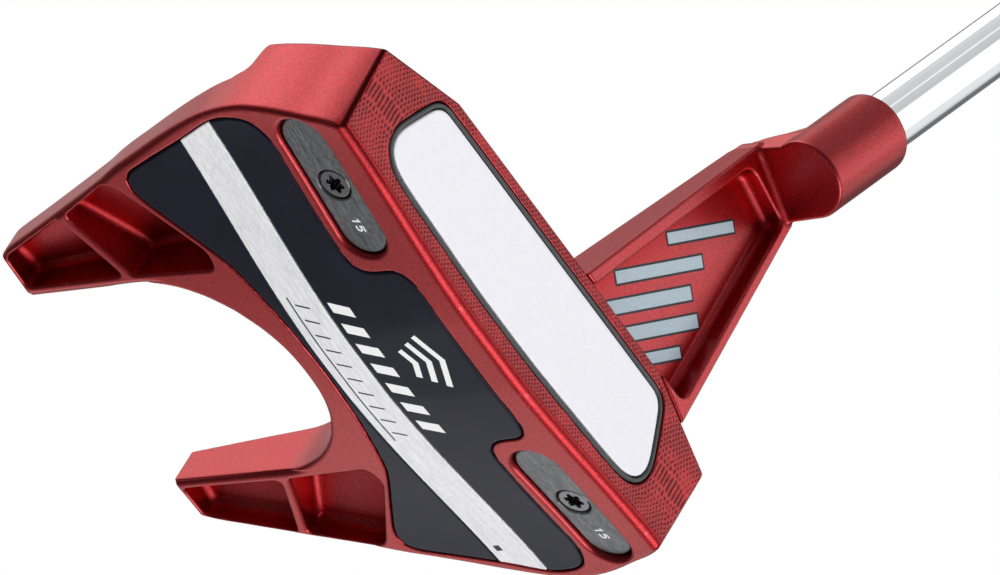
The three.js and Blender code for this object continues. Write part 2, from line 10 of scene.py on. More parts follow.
import bmesh
import bpy
import numpy as np
from mathutils import Matrix, Vector

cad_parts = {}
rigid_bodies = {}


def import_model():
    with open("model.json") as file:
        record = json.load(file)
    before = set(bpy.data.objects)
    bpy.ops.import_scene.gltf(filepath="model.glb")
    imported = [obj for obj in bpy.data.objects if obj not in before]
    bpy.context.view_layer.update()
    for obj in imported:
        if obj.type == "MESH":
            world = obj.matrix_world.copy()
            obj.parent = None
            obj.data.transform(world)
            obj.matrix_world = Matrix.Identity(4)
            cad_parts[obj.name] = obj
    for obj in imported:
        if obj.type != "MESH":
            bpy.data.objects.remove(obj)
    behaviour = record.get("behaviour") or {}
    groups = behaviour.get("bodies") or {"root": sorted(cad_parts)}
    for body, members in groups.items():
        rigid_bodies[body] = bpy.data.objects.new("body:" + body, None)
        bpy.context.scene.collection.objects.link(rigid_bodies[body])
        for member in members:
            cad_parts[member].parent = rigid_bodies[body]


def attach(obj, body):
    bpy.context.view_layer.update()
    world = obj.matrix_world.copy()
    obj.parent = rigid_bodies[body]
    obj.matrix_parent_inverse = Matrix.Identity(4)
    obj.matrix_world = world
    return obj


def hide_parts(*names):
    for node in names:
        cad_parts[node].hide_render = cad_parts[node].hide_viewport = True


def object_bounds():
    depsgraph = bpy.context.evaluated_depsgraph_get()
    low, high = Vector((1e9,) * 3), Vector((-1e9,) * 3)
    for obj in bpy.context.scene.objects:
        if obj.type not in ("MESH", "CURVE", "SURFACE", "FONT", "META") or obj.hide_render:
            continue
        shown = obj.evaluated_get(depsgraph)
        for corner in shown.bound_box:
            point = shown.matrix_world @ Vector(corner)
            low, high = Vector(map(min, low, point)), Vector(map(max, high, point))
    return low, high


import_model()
CAD_LOW, CAD_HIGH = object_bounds()

# Shapes are in millimetres in the frame of the CAD outlines. SHIFT moves them
# into the row frame and MM turns them into metres.
MM = 0.001
SHIFT = np.array([0.0, -3.5, -0.15])

LOFT, LIE = math.radians(3), math.radians(70)
SIN_LOFT, COS_LOFT = math.sin(LOFT), math.cos(LOFT)
CLUB_LEN = 863.6  # from the ground to the cap's top, along the shaft

# Head: the bar behind the face is level out to BAR_FLAT, then falls away.
BAR_TOP, BAR_FLAT, BAR_SLOPE = 26.2, 30.0, 0.318
WING_INNER = 21.6  # inner edge of the wings, from the centre line
GAP = 0.2  # clearance round the inlaid pieces
SOLE_X, SOLE_Y = 48, 40  # lengths that scale the sole surface

# Weights: stadium bars in the sole, each held by one screw.
WEIGHT_X, WEIGHT_Y = 35.65, 10.75
WEIGHT_LEN, WEIGHT_WIDTH, WEIGHT_THICK = 27.0, 8.5, 5.0
WEIGHT_RECESS, WEIGHT_POCKET = 0.8, 6.2
SCREW_HEAD_R, SHANK_R, SCREW_END, HOLE_END = 2.75, 1.9, 13.0, 13.4
THREAD_PITCH, THREAD_DEPTH = 0.7, 0.16

# Face insert in its tray, and the stripe let into the sole plate.
INSERT_THICK, TRAY_THICK, TRAY_POCKET = 3.2, 4.6, 4.9
TRAY_RIM = 0.95
STRIPE_Y0, STRIPE_Y1, STRIPE_THICK = 27.8, 36.0, 0.6

# Hosel: a collar on a fin, with a tongue let into a slot in the head.
COLLAR = np.array([31.35, -3.6, 70.0])  # foot of the collar, on the shaft axis
COLLAR_R, COLLAR_LEN, BRIDGE_THICK = 6.85, 19.2, 5.2
BORE_R, BORE_FLOOR = 5.1, 2.6
FIN_EDGE = -7.0  # the fin's sloping edge, measured across the shaft
POCKET_EDGE = FIN_EDGE + 2.4
TONGUE_X, TONGUE_Y = 23, 8.8
TONGUE_HALF, SLOT_HALF = (10, 1.4), (10.2, 1.6)

# Shaft, tape, grip and cap, by distance along the shaft from COLLAR.
SHAFT_DIR = np.array([math.cos(LIE), 0, math.sin(LIE)])
SIDE_DIR = np.array([math.sin(LIE), 0, -math.cos(LIE)])
SHAFT_FRAME = np.stack([SIDE_DIR, [0, 1, 0], SHAFT_DIR], 1), COLLAR
SHAFT_R, BUTT_R, SHAFT_WALL = 4.95, 7.5, 1.0
GRIP_LEN, CAP_THICK = 266.0, 3.2
TAPE_INNER, TAPE_OUTER = BUTT_R + 0.15, BUTT_R + 0.5
CAP_TOP = CLUB_LEN - COLLAR[2] / SHAFT_DIR[2]
GRIP_TOP = CAP_TOP - CAP_THICK - 0.3
GRIP_BOTTOM = GRIP_TOP - GRIP_LEN
SHAFT_TOP, SHAFT_BOTTOM = GRIP_TOP, BORE_FLOOR + 0.3


# ------------------------------------------------------------------ outlines


def mirrored(half):
    """A closed outline from its +x half."""
    return half + [(-x, y) for x, y in half if x > 0][::-1]


def lengths(vectors):
    return np.hypot(vectors[:, 0], vectors[:, 1])


def unit(vectors):
    return vectors / lengths(vectors)[:, None]


def hermite(part, start, slope_start, end, slope_end):
    """Cubic between two values with given slopes; part runs from 0 to 1."""
    return ((2 * part**3 - 3 * part**2 + 1) * start
            + (part**3 - 2 * part**2 + part) * slope_start
            + (-2 * part**3 + 3 * part**2) * end
            + (part**3 - part**2) * slope_end)


def rounded(corners, steps):
    """An outline with curved corners, from rows of x, y, corner radius."""
    corners = np.array(corners, float)
    places, out = corners[:, :2], []
    for place, before, after, radius in zip(
            places, np.roll(places, 1, 0), np.roll(places, -1, 0), corners[:, 2]):
        if not radius:
            out.append(place)
            continue
        back, ahead = before - place, after - place
        back_len, ahead_len = np.hypot(*back), np.hypot(*ahead)
        cosine = float(back @ ahead) / back_len / ahead_len
        half_angle = math.acos(max(-1, min(1, cosine))) / 2
        run = min(radius / math.tan(half_angle), back_len * 0.48, ahead_len * 0.48)
        start, end = place + back / back_len * run, place + ahead / ahead_len * run
        for k in range(steps + 1):
            part = k / steps
            rest = 1 - part
            out.append(rest * rest * start + 2 * rest * part * place + part * part * end)
    return out


def smooth_loop(outline, step=0.8, corner=30.0):
    """A denser loop: curved runs follow a spline, turns over corner degrees stay sharp."""
    points = np.array(outline, float)
    points = points[lengths(np.roll(points, -1, 0) - points) > 1e-6]
    edges = np.roll(points, -1, 0) - points
    length = lengths(edges)
    along = unit(edges)
    before, length_before = np.roll(along, 1, 0), np.roll(length, 1)
    sharp = np.degrees(np.arccos(np.clip((along * before).sum(1), -1, 1))) > corner
    tangent = unit((before * length_before[:, None] + along * length[:, None])
                   / (length_before + length)[:, None])
    out = []
    for i in range(len(points)):
        j = (i + 1) % len(points)
        slope_start = (along[i] if sharp[i] else tangent[i]) * length[i]
        slope_end = (along[i] if sharp[j] else tangent[j]) * length[i]
        count = max(1, int(math.ceil(length[i] / step)))
        for k in range(count):
            out.append(hermite(k / count, points[i], slope_start, points[j], slope_end))
    return np.array(out)


def offset_loop(outline, distance):
    """The outline moved outwards, with mitred corners."""
    points = np.array(outline, float)
    along = unit(np.roll(points, -1, 0) - points)
    after = np.stack([along[:, 1], -along[:, 0]], 1)
    before = np.roll(after, 1, 0)
    mitre = unit(before + after)
    reach = np.maximum(0.5, (mitre * before).sum(1))
    return points + mitre * (distance / reach)[:, None]


# Outer wall of the head, +x half: x, y.
WALL = mirrored([
    (0, -4), (46.9, -4), (46.9, 0.2), (47.8, 1.5), (48.9, 4), (50.1, 8), (51.4, 12),
    (52.3, 15.5), (52.95, 19.5), (53.0, 22.5), (52.75, 25.5), (52.0, 29.6), (50.4, 35.2),
    (48.6, 40.6), (46.2, 47.2), (43.6, 54.3), (41.3, 59.5), (36.1, 73.0), (33.4, 80.2),
    (31.0, 86.6), (29.8, 88.6), (22.0, 88.6), (21.2, 87.9), (21.25, 72), (21.3, 62.3),
    (20.95, 59.6), (20.1, 56.5), (18.8, 53.4), (17.2, 50.7), (15.5, 48.5), (13.7, 46.6),
    (11.8, 45.1), (9.6, 43.6), (6.8, 42.3), (3.6, 41.5), (0, 41.25),
])
# Sole plate, +x half: x, y.
PLATE = mirrored([
    (0, 6.15), (13.5, 6.2), (16.3, 6.6), (17.9, 7.5), (18.6, 9.0), (18.8, 12.8), (19.4, 15.0),
    (20.8, 16.5), (23.0, 17.1), (30, 17.45), (38, 17.6), (44.5, 17.35), (47.3, 17.9),
    (49.2, 19.0), (50.3, 20.8), (50.8, 23.3), (50.75, 26.3), (50.2, 28.8), (48.1, 34.6),
    (45.8, 41.5), (43.5, 48.5), (42.6, 50.6), (41.3, 52.0), (39.6, 52.2), (37.4, 51.3),
    (34.7, 49.5), (30.5, 46.5), (26.5, 43.6), (23.2, 41.5), (19.8, 40.2), (16, 39.1),
    (12, 38.1), (7, 37.3), (0, 36.9),
])
# Face insert, +x half: x, distance up the face.
INSERT = mirrored([
    (0, 5.55), (8, 5.62), (14, 5.85), (20, 6.15), (26, 6.45), (30.5, 6.75), (33.2, 7.15),
    (35.2, 7.95), (36.6, 9.3), (37.15, 11.1), (37.0, 12.9), (36.2, 15.2), (33.9, 20.5),
    (33.1, 21.8), (31.9, 22.7), (30.2, 23.0), (0, 23.0),
])
# Hollows under each wing, +x side: x, y, corner radius.
REAR_HOLLOW = [(23.1, 87.3, 1.4), (23.3, 65.3, 1.1), (35.8, 71.3, 1.1), (29.7, 87.3, 2.0)]
FRONT_HOLLOW = [(23.2, 63.3, 1.1), (22.6, 45.2, 3.2), (26.2, 44.9, 3.0), (41.6, 56.6, 3.6),
                (36.2, 69.4, 1.1)]
# Rear face of the bar: z, y.
BAR_BACK = [(-10, 24.6), (12.6, 24.6), (13.3, 23.5), (14.6, 22.9), (17.4, 22.4),
            (18.2, 22.1), (40.0, 21.7)]
# Width of the chamfer round the sole: y, width.
CHAMFER = [(26, 0.5), (44, 0.85)]
# Bridge under the collar: distance across the shaft, y from its axis.
BRIDGE = [(7.4, 12.7), (6.95, 6), (6.84, 0.3), (5, -1.5), (-5, -1.5), (-6.84, 0.3), (-7.1, 6),
          (-7.2, 11.4), (-6.4, 12.7)]
# Widening of the bridge on its -x side: distance along the shaft, widening.
BRIDGE_FLARE = [(-1, -0.75), (0.3, -0.7), (1.6, -0.45), (3.6, 0.0), (8, 0.2)]
# Roof of the bridge: y from the shaft axis, distance along the shaft.
BRIDGE_ROOF = [(-12, BRIDGE_THICK + 3), (-2, BRIDGE_THICK + 3), (0.5, 4.9), (3, 4.3), (8, 3.1),
               (11, 1.9), (12.9, 0.4)]
# Outside of the shaft: distance along it, radius.
SHAFT_TAPER = [(SHAFT_BOTTOM + 0.35, SHAFT_R), (62, SHAFT_R), (110, SHAFT_R + 0.25),
               (470, BUTT_R - 0.1), (500, BUTT_R), (SHAFT_TOP, BUTT_R)]
# Grip sections: distance from its bottom, half width, reach to the front, to the back.
GRIP_STATIONS = np.array([
    (0, 9.4, 9.2, 9.4), (1.2, 10.0, 9.7, 10.0), (3, 10.25, 9.95, 10.25), (40, 10.6, 10.1, 10.9),
    (100, 11.2, 10.4, 12.4), (160, 11.8, 10.7, 14.6), (205, 12.3, 11.0, 17.2),
    (235, 12.55, 11.1, 19.4), (250, 12.6, 11.0, 20.3), (259, 12.3, 10.7, 19.9),
    (263.5, 11.8, 10.3, 18.8), (GRIP_LEN, 11.0, 9.7, 17.2),
])


# ------------------------------------------------------- surfaces and frames


def sole_z(x, y):
    """Height of the curved sole, levelled off softly at 0.15 mm."""
    across, back = x / SOLE_X, (y - 25) / SOLE_Y
    height = (0.0232 + 6.8406 * across**2 - 2.5501 * across**4 + 0.2008 * back
              + 0.3858 * back**2 + 0.7841 * across * across * back
              - 1.9117 * across * across * back * back)
    return 0.5 * (height + 0.15 + np.sqrt((height - 0.15) ** 2 + 0.0016))


def wing_z(x, y):
    """Top of the wings and the deck between them."""
    return 12.35 - 0.13 * np.maximum(0, np.abs(x) - WING_INNER) - 0.118 * (y - 60)


def bar_top_z(x):
    return BAR_TOP - BAR_SLOPE * np.maximum(0, np.abs(x) - BAR_FLAT)


def web_y(z):
    """Front of the hosel's thin web."""
    return 5.9 + 0.028 * (z - 26)


def face_coords(y, z):
    """Depth behind the lofted face plane, and distance up it."""
    return y * COS_LOFT - z * SIN_LOFT, y * SIN_LOFT + z * COS_LOFT


def along_shaft(across, along):
    """x and z of a point given across and along the shaft."""
    return [COLLAR[k] + across * SIDE_DIR[k] + along * SHAFT_DIR[k] for k in (0, 2)]


def shaft_line_x(across, z):
    """x at height z on a line parallel to the shaft."""
    x0, z0 = along_shaft(across, 0)
    return x0 + (z - z0) / SHAFT_DIR[2] * SHAFT_DIR[0]


def weight_frame(side):
    """Axes and origin of a weight, tilted with the sole; side is +1 or -1."""
    slope = sole_z(WEIGHT_X + 0.5, WEIGHT_Y) - sole_z(WEIGHT_X - 0.5, WEIGHT_Y)
    tilt = -side * math.atan(slope)
    cosine, sine = math.cos(tilt), math.sin(tilt)
    axes = np.array([[cosine, 0, sine], [0, 1, 0], [-sine, 0, cosine]])
    return axes, np.array([side * WEIGHT_X, WEIGHT_Y, sole_z(WEIGHT_X, WEIGHT_Y)])


# Both frames map local points to the head: the identity, and the face plane
# with local y up the face and local z out of it.
HEAD_FRAME = np.eye(3), np.zeros(3)
FACE_FRAME = (np.array([[1, 0, 0], [0, SIN_LOFT, -COS_LOFT], [0, COS_LOFT, SIN_LOFT]]),
              np.zeros(3))


# ----------------------------------------------- distance fields, minus inside


class Grid:
    """Sample points filling a box."""

    def __init__(self, low, high, step, quick_step):
        self.step = step
        self.low = np.array(low, float)
        self.shape = np.ceil((np.array(high) - low) / self.step).astype(int) + 1
        axes = [start + self.step * np.arange(n) for start, n in zip(self.low, self.shape)]
        self.x, self.y, self.z = np.ix_(*axes)


def poly_sd(outline, across, up):
    """Signed distance to a closed outline."""
    points = np.asarray(outline, float)
    shape = np.broadcast(across, up).shape
    squared, inside = np.full(shape, 1e9), np.zeros(shape, bool)
    for start, end in zip(points, np.roll(points, -1, 0)):
        edge_x, edge_y = end - start
        off_x, off_y = across - start[0], up - start[1]
        part = np.clip((off_x * edge_x + off_y * edge_y)
                       / (edge_x * edge_x + edge_y * edge_y + 1e-12), 0, 1)
        squared = np.minimum(squared, (off_x - part * edge_x) ** 2 + (off_y - part * edge_y) ** 2)
        if abs(edge_y) > 1e-12:
            spans = (start[1] <= up) != (end[1] <= up)
            inside ^= spans & (across < start[0] + off_y * edge_x / edge_y)
    return np.where(inside, -1.0, 1.0) * np.sqrt(squared)


def table_sd(outline, across, up, step=0.2):
    """The same distance read from a table, for coordinates skewed to the grid."""
    columns = np.arange(across.min() - step, across.max() + 2 * step, step)
    rows = np.arange(up.min() - step, up.max() + 2 * step, step)
    table = poly_sd(outline, columns[:, None], rows[None, :])
    across, up = (across - columns[0]) / step, (up - rows[0]) / step
    i, j = across.astype(int), up.astype(int)
    across, up = across - i, up - j
    return (table[i, j] * (1 - across) * (1 - up) + table[i + 1, j] * across * (1 - up)
            + table[i, j + 1] * (1 - across) * up + table[i + 1, j + 1] * across * up)


def stadium_sd(x, y, length, width):
    radius = width / 2
    return np.hypot(np.maximum(np.abs(x) - (length / 2 - radius), 0), y) - radius


def tongue_sd(x, y, half):
    """The box, open in z, of the hosel's tongue or its slot."""
    return np.maximum(np.abs(x - TONGUE_X) - half[0], np.abs(y - TONGUE_Y) - half[1])


def meet(first, second, radius):
    """Intersection with a round edge."""
    if radius <= 0:
        return np.maximum(first, second)
    return (np.minimum(np.maximum(first, second), -radius)
            + np.hypot(np.maximum(first + radius, 0), np.maximum(second + radius, 0)))


def join(first, second, radius):
    """Union with a fillet."""
    if radius <= 0:
        return np.minimum(first, second)
    return (np.maximum(np.minimum(first, second), radius)
            - np.hypot(np.maximum(radius - first, 0), np.maximum(radius - second, 0)))


def cut(body, tool, radius):
    return meet(body, -tool, radius)


def profile(value, table):
    """Straight-line reading of a two-column table."""
    return np.interp(value, *np.transpose(table))


# ------------------------------------------------------------ fields to meshes


def sample(field, points):
    """Field values at points given in grid units."""
    cell = np.clip(np.floor(points).astype(int), 0, np.array(field.shape) - 2)
    i, j, k = cell.T
    block = np.array([[[field[i + a, j + b, k + c] for c in (0, 1)]
                       for b in (0, 1)] for a in (0, 1)])
    for part in (points - cell).T:
        block = block[0] + (block[1] - block[0]) * part
    return block


def gradient(field, points, reach=0.5):
    slopes = [sample(field, points + reach * axis) - sample(field, points - reach * axis)
              for axis in np.eye(3)]
    return np.stack(slopes, 1) / (2 * reach)


def surface_nets(field, low, step):
    """Points, normals and quads of the surface where the field is zero."""
    corners = np.array([(a, b, c) for a in (0, 1) for b in (0, 1) for c in (0, 1)])
    inside = field < 0
    size = np.array(field.shape) - 1
    count = np.zeros(size, np.uint8)
    for a, b, c in corners:
        count += inside[a:size[0] + a, b:size[1] + b, c:size[2] + c]
    active = (count > 0) & (count < 8)
    cells = np.argwhere(active)
    index = np.full(active.shape, -1, np.int64)
    index[active] = np.arange(len(cells))

    # One point per active cell, at the mean of its edge crossings.
    total, hits = np.zeros((len(cells), 3)), np.zeros(len(cells))
    for start, end in combinations(corners, 2):
        if np.abs(start - end).sum() != 1:
            continue
        at_start, at_end = field[tuple((cells + start).T)], field[tuple((cells + end).T)]
        crossed = (at_start < 0) != (at_end < 0)
        part = at_start[crossed] / (at_start[crossed] - at_end[crossed])
        total[crossed] += start + part[:, None] * (end - start)
        hits[crossed] += 1
    points = cells + total / hits[:, None]

    # Pull the points onto the surface, by at most 0.35 of a cell each time.
    for _ in range(2):
        slope = gradient(field, points)
        move = (-sample(field, points)[:, None] * slope
                / np.maximum((slope**2).sum(1), 1e-6)[:, None])
        length = np.linalg.norm(move, axis=1)
        points = points + move * np.minimum(1, 0.35 / np.maximum(length, 1e-9))[:, None]
    slope = gradient(field, points, 0.35)
    normals = slope / np.maximum(np.linalg.norm(slope, axis=1), 1e-9)[:, None]

    # One quad round every grid edge that changes sign.
    quads, units = [], np.eye(3, dtype=int)
    for axis in range(3):
        near, far = [slice(1, -1)] * 3, [slice(1, -1)] * 3
        near[axis], far[axis] = slice(0, -1), slice(1, None)
        edges = np.argwhere(inside[tuple(near)] != inside[tuple(far)]) + (1 - units[axis])
        side, other = units[(axis + 1) % 3], units[(axis + 2) % 3]
        quad = np.stack([index[tuple((edges - back).T)]
                         for back in (side + other, other, 0 * side, side)], 1)
        outside = ~inside[tuple(edges.T)]
        quad[outside] = quad[outside][:, ::-1]
        quads.append(quad)
    return low + points * step, normals, np.concatenate(quads)


def make_object(name, points, faces, body, frame=HEAD_FRAME, normals=None, smooth=True):
    """A mesh object from local points; faces are an array of quads or a mixed list."""
    axes, origin = frame
    points = np.asarray(points, float) @ axes.T + origin
    points = np.clip((points + SHIFT) * MM, CAD_LOW, CAD_HIGH)
    mesh = bpy.data.meshes.new(name)
    if isinstance(faces, np.ndarray):
        mesh.vertices.add(len(points))
        mesh.vertices.foreach_set("co", points.astype(np.float32).ravel())
        mesh.loops.add(faces.size)
        mesh.loops.foreach_set("vertex_index", faces.astype(np.int32).ravel())
        mesh.polygons.add(len(faces))
        starts = np.arange(0, faces.size, faces.shape[1], dtype=np.int32)
        mesh.polygons.foreach_set("loop_start", starts)
        mesh.update(calc_edges=True)
    else:
        mesh.from_pydata(points.tolist(), [], faces)
    mesh.validate()
    mesh.polygons.foreach_set("use_smooth", np.full(len(mesh.polygons), smooth))
    if normals is not None:
        mesh.normals_split_custom_set_from_vertices((normals @ axes.T).tolist())
    ob = bpy.data.objects.new(name, mesh)
    bpy.context.scene.collection.objects.link(ob)
    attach(ob, body)
    return ob


def field_object(name, grid, field, body="club", frame=HEAD_FRAME):
    field = np.ascontiguousarray(np.broadcast_to(field, grid.shape), np.float64)
    points, normals, quads = surface_nets(field, grid.low, grid.step)
    return make_object(name, points, quads, body, frame, normals)


# ------------------------------------------------------------------ head body


def head_blank(x, y, z):
    """The solid head: wall, sole, face, the bar behind the face and the wings."""
    wall = poly_sd(smooth_loop(WALL), x, y)
    sole = sole_z(x, y) - z
    depth, _ = face_coords(y, z)
    width = np.where((np.abs(x) < WING_INNER) & (y > 40), 0.45, profile(y, CHAMFER))
    width = np.where(y < 1.5, 0.35, width)
    chamfer = (wall + sole + width) * 0.70711  # at 45 degrees
    body = meet(sole, -depth, 1.6)
    body = meet(meet(body, chamfer, 0.3), wall, 0.35)
    bar = meet((z - bar_top_z(x)) / 1.02, (y - profile(z, BAR_BACK)) * 0.9, 0.9)
    wings = meet(z - wing_z(x, y), 8 - y, 0)
    return meet(body, join(bar, wings, 1.6), 0.6)


def cut_weight_pocket(body, x, y, z, side):
    axes, origin = weight_frame(side)
    off_x, off_z = x - origin[0], z - origin[2]
    across = off_x * axes[0, 0] + off_z * axes[2, 0]
    deep = off_x * axes[0, 2] + off_z * axes[2, 2]
    back = y - origin[1]
    bar = stadium_sd(across, back, WEIGHT_LEN + 0.6, WEIGHT_WIDTH + 0.6)
    body = cut(body, meet(bar, deep - WEIGHT_POCKET, 0.4), 0.8)
    hole = np.maximum(np.hypot(across, back) - (SHANK_R + 0.2), deep - HOLE_END)
    return cut(body, hole, 0.2)


def build_head():
    grid = Grid((-54.6, -1.5, -0.9), (54.6, 90.0, 27.9), 0.3, quick_step=0.6)
    x, y, z = grid.x, grid.y, grid.z
    body = head_blank(x, y, z)
    plate = poly_sd(smooth_loop(offset_loop(PLATE, GAP)), x, y)
    body = cut(body, meet(plate, z - (sole_z(x, y) + 1.8), 0), 0.18)
    roof = z - (wing_z(x, y) - 2.3)
    for side in (1, -1):
        for hollow in (REAR_HOLLOW, FRONT_HOLLOW):
            outline = smooth_loop(rounded(hollow, steps=6), corner=40) * [side, 1]
            body = cut(body, meet(poly_sd(outline, x, y), roof, 1.5), 0.5)
        body = cut_weight_pocket(body, x, y, z, side)
    depth, up_face = face_coords(y, z)
    tray = smooth_loop(offset_loop(offset_loop(INSERT, TRAY_RIM), GAP))
    body = cut(body, np.maximum(table_sd(tray, x, up_face), depth - TRAY_POCKET), 0.15)
    body = cut(body, np.maximum(tongue_sd(x, y, SLOT_HALF), 21.8 - z), 0)
    return field_object("head_shell", grid, body)


# ---------------------------------------------------------------------- hosel


def hosel_fin(x, y, z):
    """The slab that carries the collar, drawn in x and z."""
    end_x = 39.1
    foot_z = [bar_top_z(at) + 0.15 for at in (0, BAR_FLAT, end_x)]
    outline = [
        (shaft_line_x(FIN_EDGE, foot_z[0]), foot_z[0]), (BAR_FLAT, foot_z[1]),
        (end_x, foot_z[2]), (end_x, 66.9), along_shaft(7.9, 1.0), along_shaft(FIN_EDGE, 1.0),
    ]
    back = np.maximum(y - (11.4 - 0.0476 * (z - 26)), (y - (9.26 - 0.44 * (z - 71))) * 0.9)
    depth, _ = face_coords(y, z)
    return meet(meet(poly_sd(outline, x, z), back, 0.55), -depth, 0.45)


def fin_pocket(x, y, z):
    """The hollow in front of the web."""
    edge_x = 37.1
    corners = [
        (shaft_line_x(POCKET_EDGE, 20), 20, 0), (31, 20, 0), (31, 26.45, 0),
        (edge_x, 26.45, 2.1), (edge_x, along_shaft(5.9, -4.1)[1] + 2.7, 1.6),
        (*along_shaft(POCKET_EDGE, -2.7), 3.2),
    ]
    outline = smooth_loop(rounded(corners, steps=8), 1.0, 40)
    return np.maximum(meet(poly_sd(outline, x, z), y - web_y(z), 1.4), -6 - y)


def build_hosel():
    grid = Grid((6.0, -11.5, 21.2), (45.4, 13.0, 90.9), 0.27, quick_step=0.5)
    x, y, z = grid.x, grid.y, grid.z
    across = (x - COLLAR[0]) * SIDE_DIR[0] + (z - COLLAR[2]) * SIDE_DIR[2]
    along = (x - COLLAR[0]) * SHAFT_DIR[0] + (z - COLLAR[2]) * SHAFT_DIR[2]
    back = y - COLLAR[1]
    radius = np.hypot(across, back)
    flare = (profile(along, BRIDGE_FLARE) * np.clip(-across / 5, 0, 1)
             * np.clip((back + 2) / 4, 0, 1))
    roof = (along - profile(back, BRIDGE_ROOF)) * 0.95
    bridge = meet(table_sd(BRIDGE, across + flare, back),
                  join(radius - COLLAR_R, roof, 2.0), 0.35)
    collar = np.minimum(bridge, radius - COLLAR_R)
    collar = meet(meet(collar, -along, 0.5), along - COLLAR_LEN, 1.0)
    body = join(hosel_fin(x, y, z), collar, 1.1)
    body = cut(body, fin_pocket(x, y, z), 0.6)
    tongue = np.maximum(tongue_sd(x, y, TONGUE_HALF), np.maximum(22.1 - z, z - 27))
    body = join(body, tongue, 0)
    body = cut(body, np.maximum(radius - BORE_R, BORE_FLOOR - along), 0.25)
    return field_object("hosel_casting", grid, body)


# -------------------------------------------------------------- inlaid pieces


def insert_piece(name, rim, end_radius, thick, hollow):
    """A plate in the face; rim widens the outline, hollow makes it a shallow tray."""
    grid = Grid((-38.9, 3.6, -5.3), (38.9, 25.0, 0.7), 0.28, quick_step=0.6)
    x, y, z = grid.x, grid.y, grid.z
    outline = smooth_loop(INSERT, 0.6)
    body = meet(poly_sd(offset_loop(outline, rim), x, y), z + 0.02, end_radius)
    body = meet(body, -thick - z, 0.2)
    if hollow:
        inner = poly_sd(offset_loop(outline, 0.14), x, y)
        body = cut(body, np.maximum(inner, -(INSERT_THICK + 0.25) - z), 0.12)
    return field_object(name, grid, body, frame=FACE_FRAME)


def build_plate():
    grid = Grid((-52.2, 5.0, -0.6), (52.2, 53.4, 6.6), 0.28, quick_step=0.6)
    x, y, z = grid.x, grid.y, grid.z
    sole = sole_z(x, y)
    body = meet(poly_sd(smooth_loop(PLATE), x, y), sole + 0.03 - z, 0.3)
    body = meet(body, z - (sole + 1.5), 0)
    band = np.maximum(STRIPE_Y0 - 0.15 - y, y - STRIPE_Y1 - 0.15)
    body = cut(body, np.maximum(band, z - (sole + STRIPE_THICK + 0.2)), 0.15)
    return field_object("plate_shell", grid, body)


def build_stripe():
    grid = Grid((-52.2, 26.6, -0.6), (52.2, 37.2, 6.6), 0.22, quick_step=0.45)
    x, y, z = grid.x, grid.y, grid.z
    sole = sole_z(x, y)
    band = np.maximum(STRIPE_Y0 - y, y - STRIPE_Y1)
    body = meet(poly_sd(smooth_loop(PLATE), x, y), band, 0)
    body = meet(meet(body, sole + 0.01 - z, 0.15), z - (sole + STRIPE_THICK), 0)
    return field_object("stripe_bar", grid, body)


# ---------------------------------------------------------- weights and screws
# Local z points up into the head from the sole.


def build_weight(label, frame):
    grid = Grid((-14.2, -5.0, 0.1), (14.2, 5.0, 6.5), 0.2, quick_step=0.45)
    x, y, z = grid.x, grid.y, grid.z
    body = stadium_sd(x, y, WEIGHT_LEN + 0.16, WEIGHT_WIDTH + 0.16)
    body = meet(meet(body, WEIGHT_RECESS - z, 0.4), z - WEIGHT_RECESS - WEIGHT_THICK, 0.3)
    radius = np.hypot(x, y)
    sink = meet(radius - SCREW_HEAD_R - 0.25, z - WEIGHT_RECESS - 2.4, 0)
    body = cut(cut(body, sink, 0.25), radius - SHANK_R - 0.25, 0)
    return field_object(label + "_weight_bar", grid, body, label + "_weight", frame)


def build_screw(label, frame):
    grid = Grid((-3.1, -3.1, 0.6), (3.1, 3.1, 13.5), 0.11, quick_step=0.25)
    z = grid.z
    radius, angle = np.hypot(grid.x, grid.y), np.arctan2(grid.y, grid.x)
    top = WEIGHT_RECESS + 0.25
    head = meet(meet(radius - SCREW_HEAD_R, top - z, 0.3), z - (top + 1.95), 0.1)
    socket = (radius - (1.42 + 0.30 * np.cos(6 * angle))) * 0.75
    head = cut(head, meet(socket, z - (top + 1.5), 0.15), 0.1)
    turns = z / THREAD_PITCH - angle / (2 * math.pi)
    thread = THREAD_DEPTH * np.abs((turns % 1) * 2 - 1)
    shank = meet(radius - (SHANK_R - THREAD_DEPTH + thread), z - SCREW_END, 0.3)
    body = np.minimum(head, np.maximum(shank, top + 1.8 - z))
    return field_object(label + "_screw_body", grid, body, label + "_screw", frame)


# ------------------------------------------------------------- shaft and grip


def lathe(name, stations, count):
    """A closed profile of (radius, distance along) turned about the shaft axis."""
    points, faces, rings = [], [], []
    for radius, along in stations:
        around = 1 if radius < 1e-6 else count
        rings.append(range(len(points), len(points) + around))
        for k in range(around):
            angle = 2 * math.pi * k / count
            points.append([radius * math.cos(angle), radius * math.sin(angle), along])
    for ring, after in zip(rings, rings[1:] + rings[:1]):
        for k in range(count):
            j = (k + 1) % count
            face = [ring[k % len(ring)], ring[j % len(ring)],
                    after[j % len(after)], after[k % len(after)]]
            face = list(dict.fromkeys(face))  # a ring on the axis is one point
            if len(face) > 2:
                faces.append(face)
    return make_object(name, points, faces, "club", SHAFT_FRAME)


def build_shaft():
    outer = [(SHAFT_R - 0.35, SHAFT_BOTTOM), (SHAFT_R, SHAFT_BOTTOM + 0.35)]
    outer += [(float(profile(along, SHAFT_TAPER)), float(along))
              for along in np.linspace(SHAFT_BOTTOM + 8, SHAFT_TOP, 90)]
    inner = [(radius - SHAFT_WALL, along) for radius, along in outer[:1:-1]]
    return lathe("shaft_tube", outer + inner + [(SHAFT_R - SHAFT_WALL, SHAFT_BOTTOM)], 96)


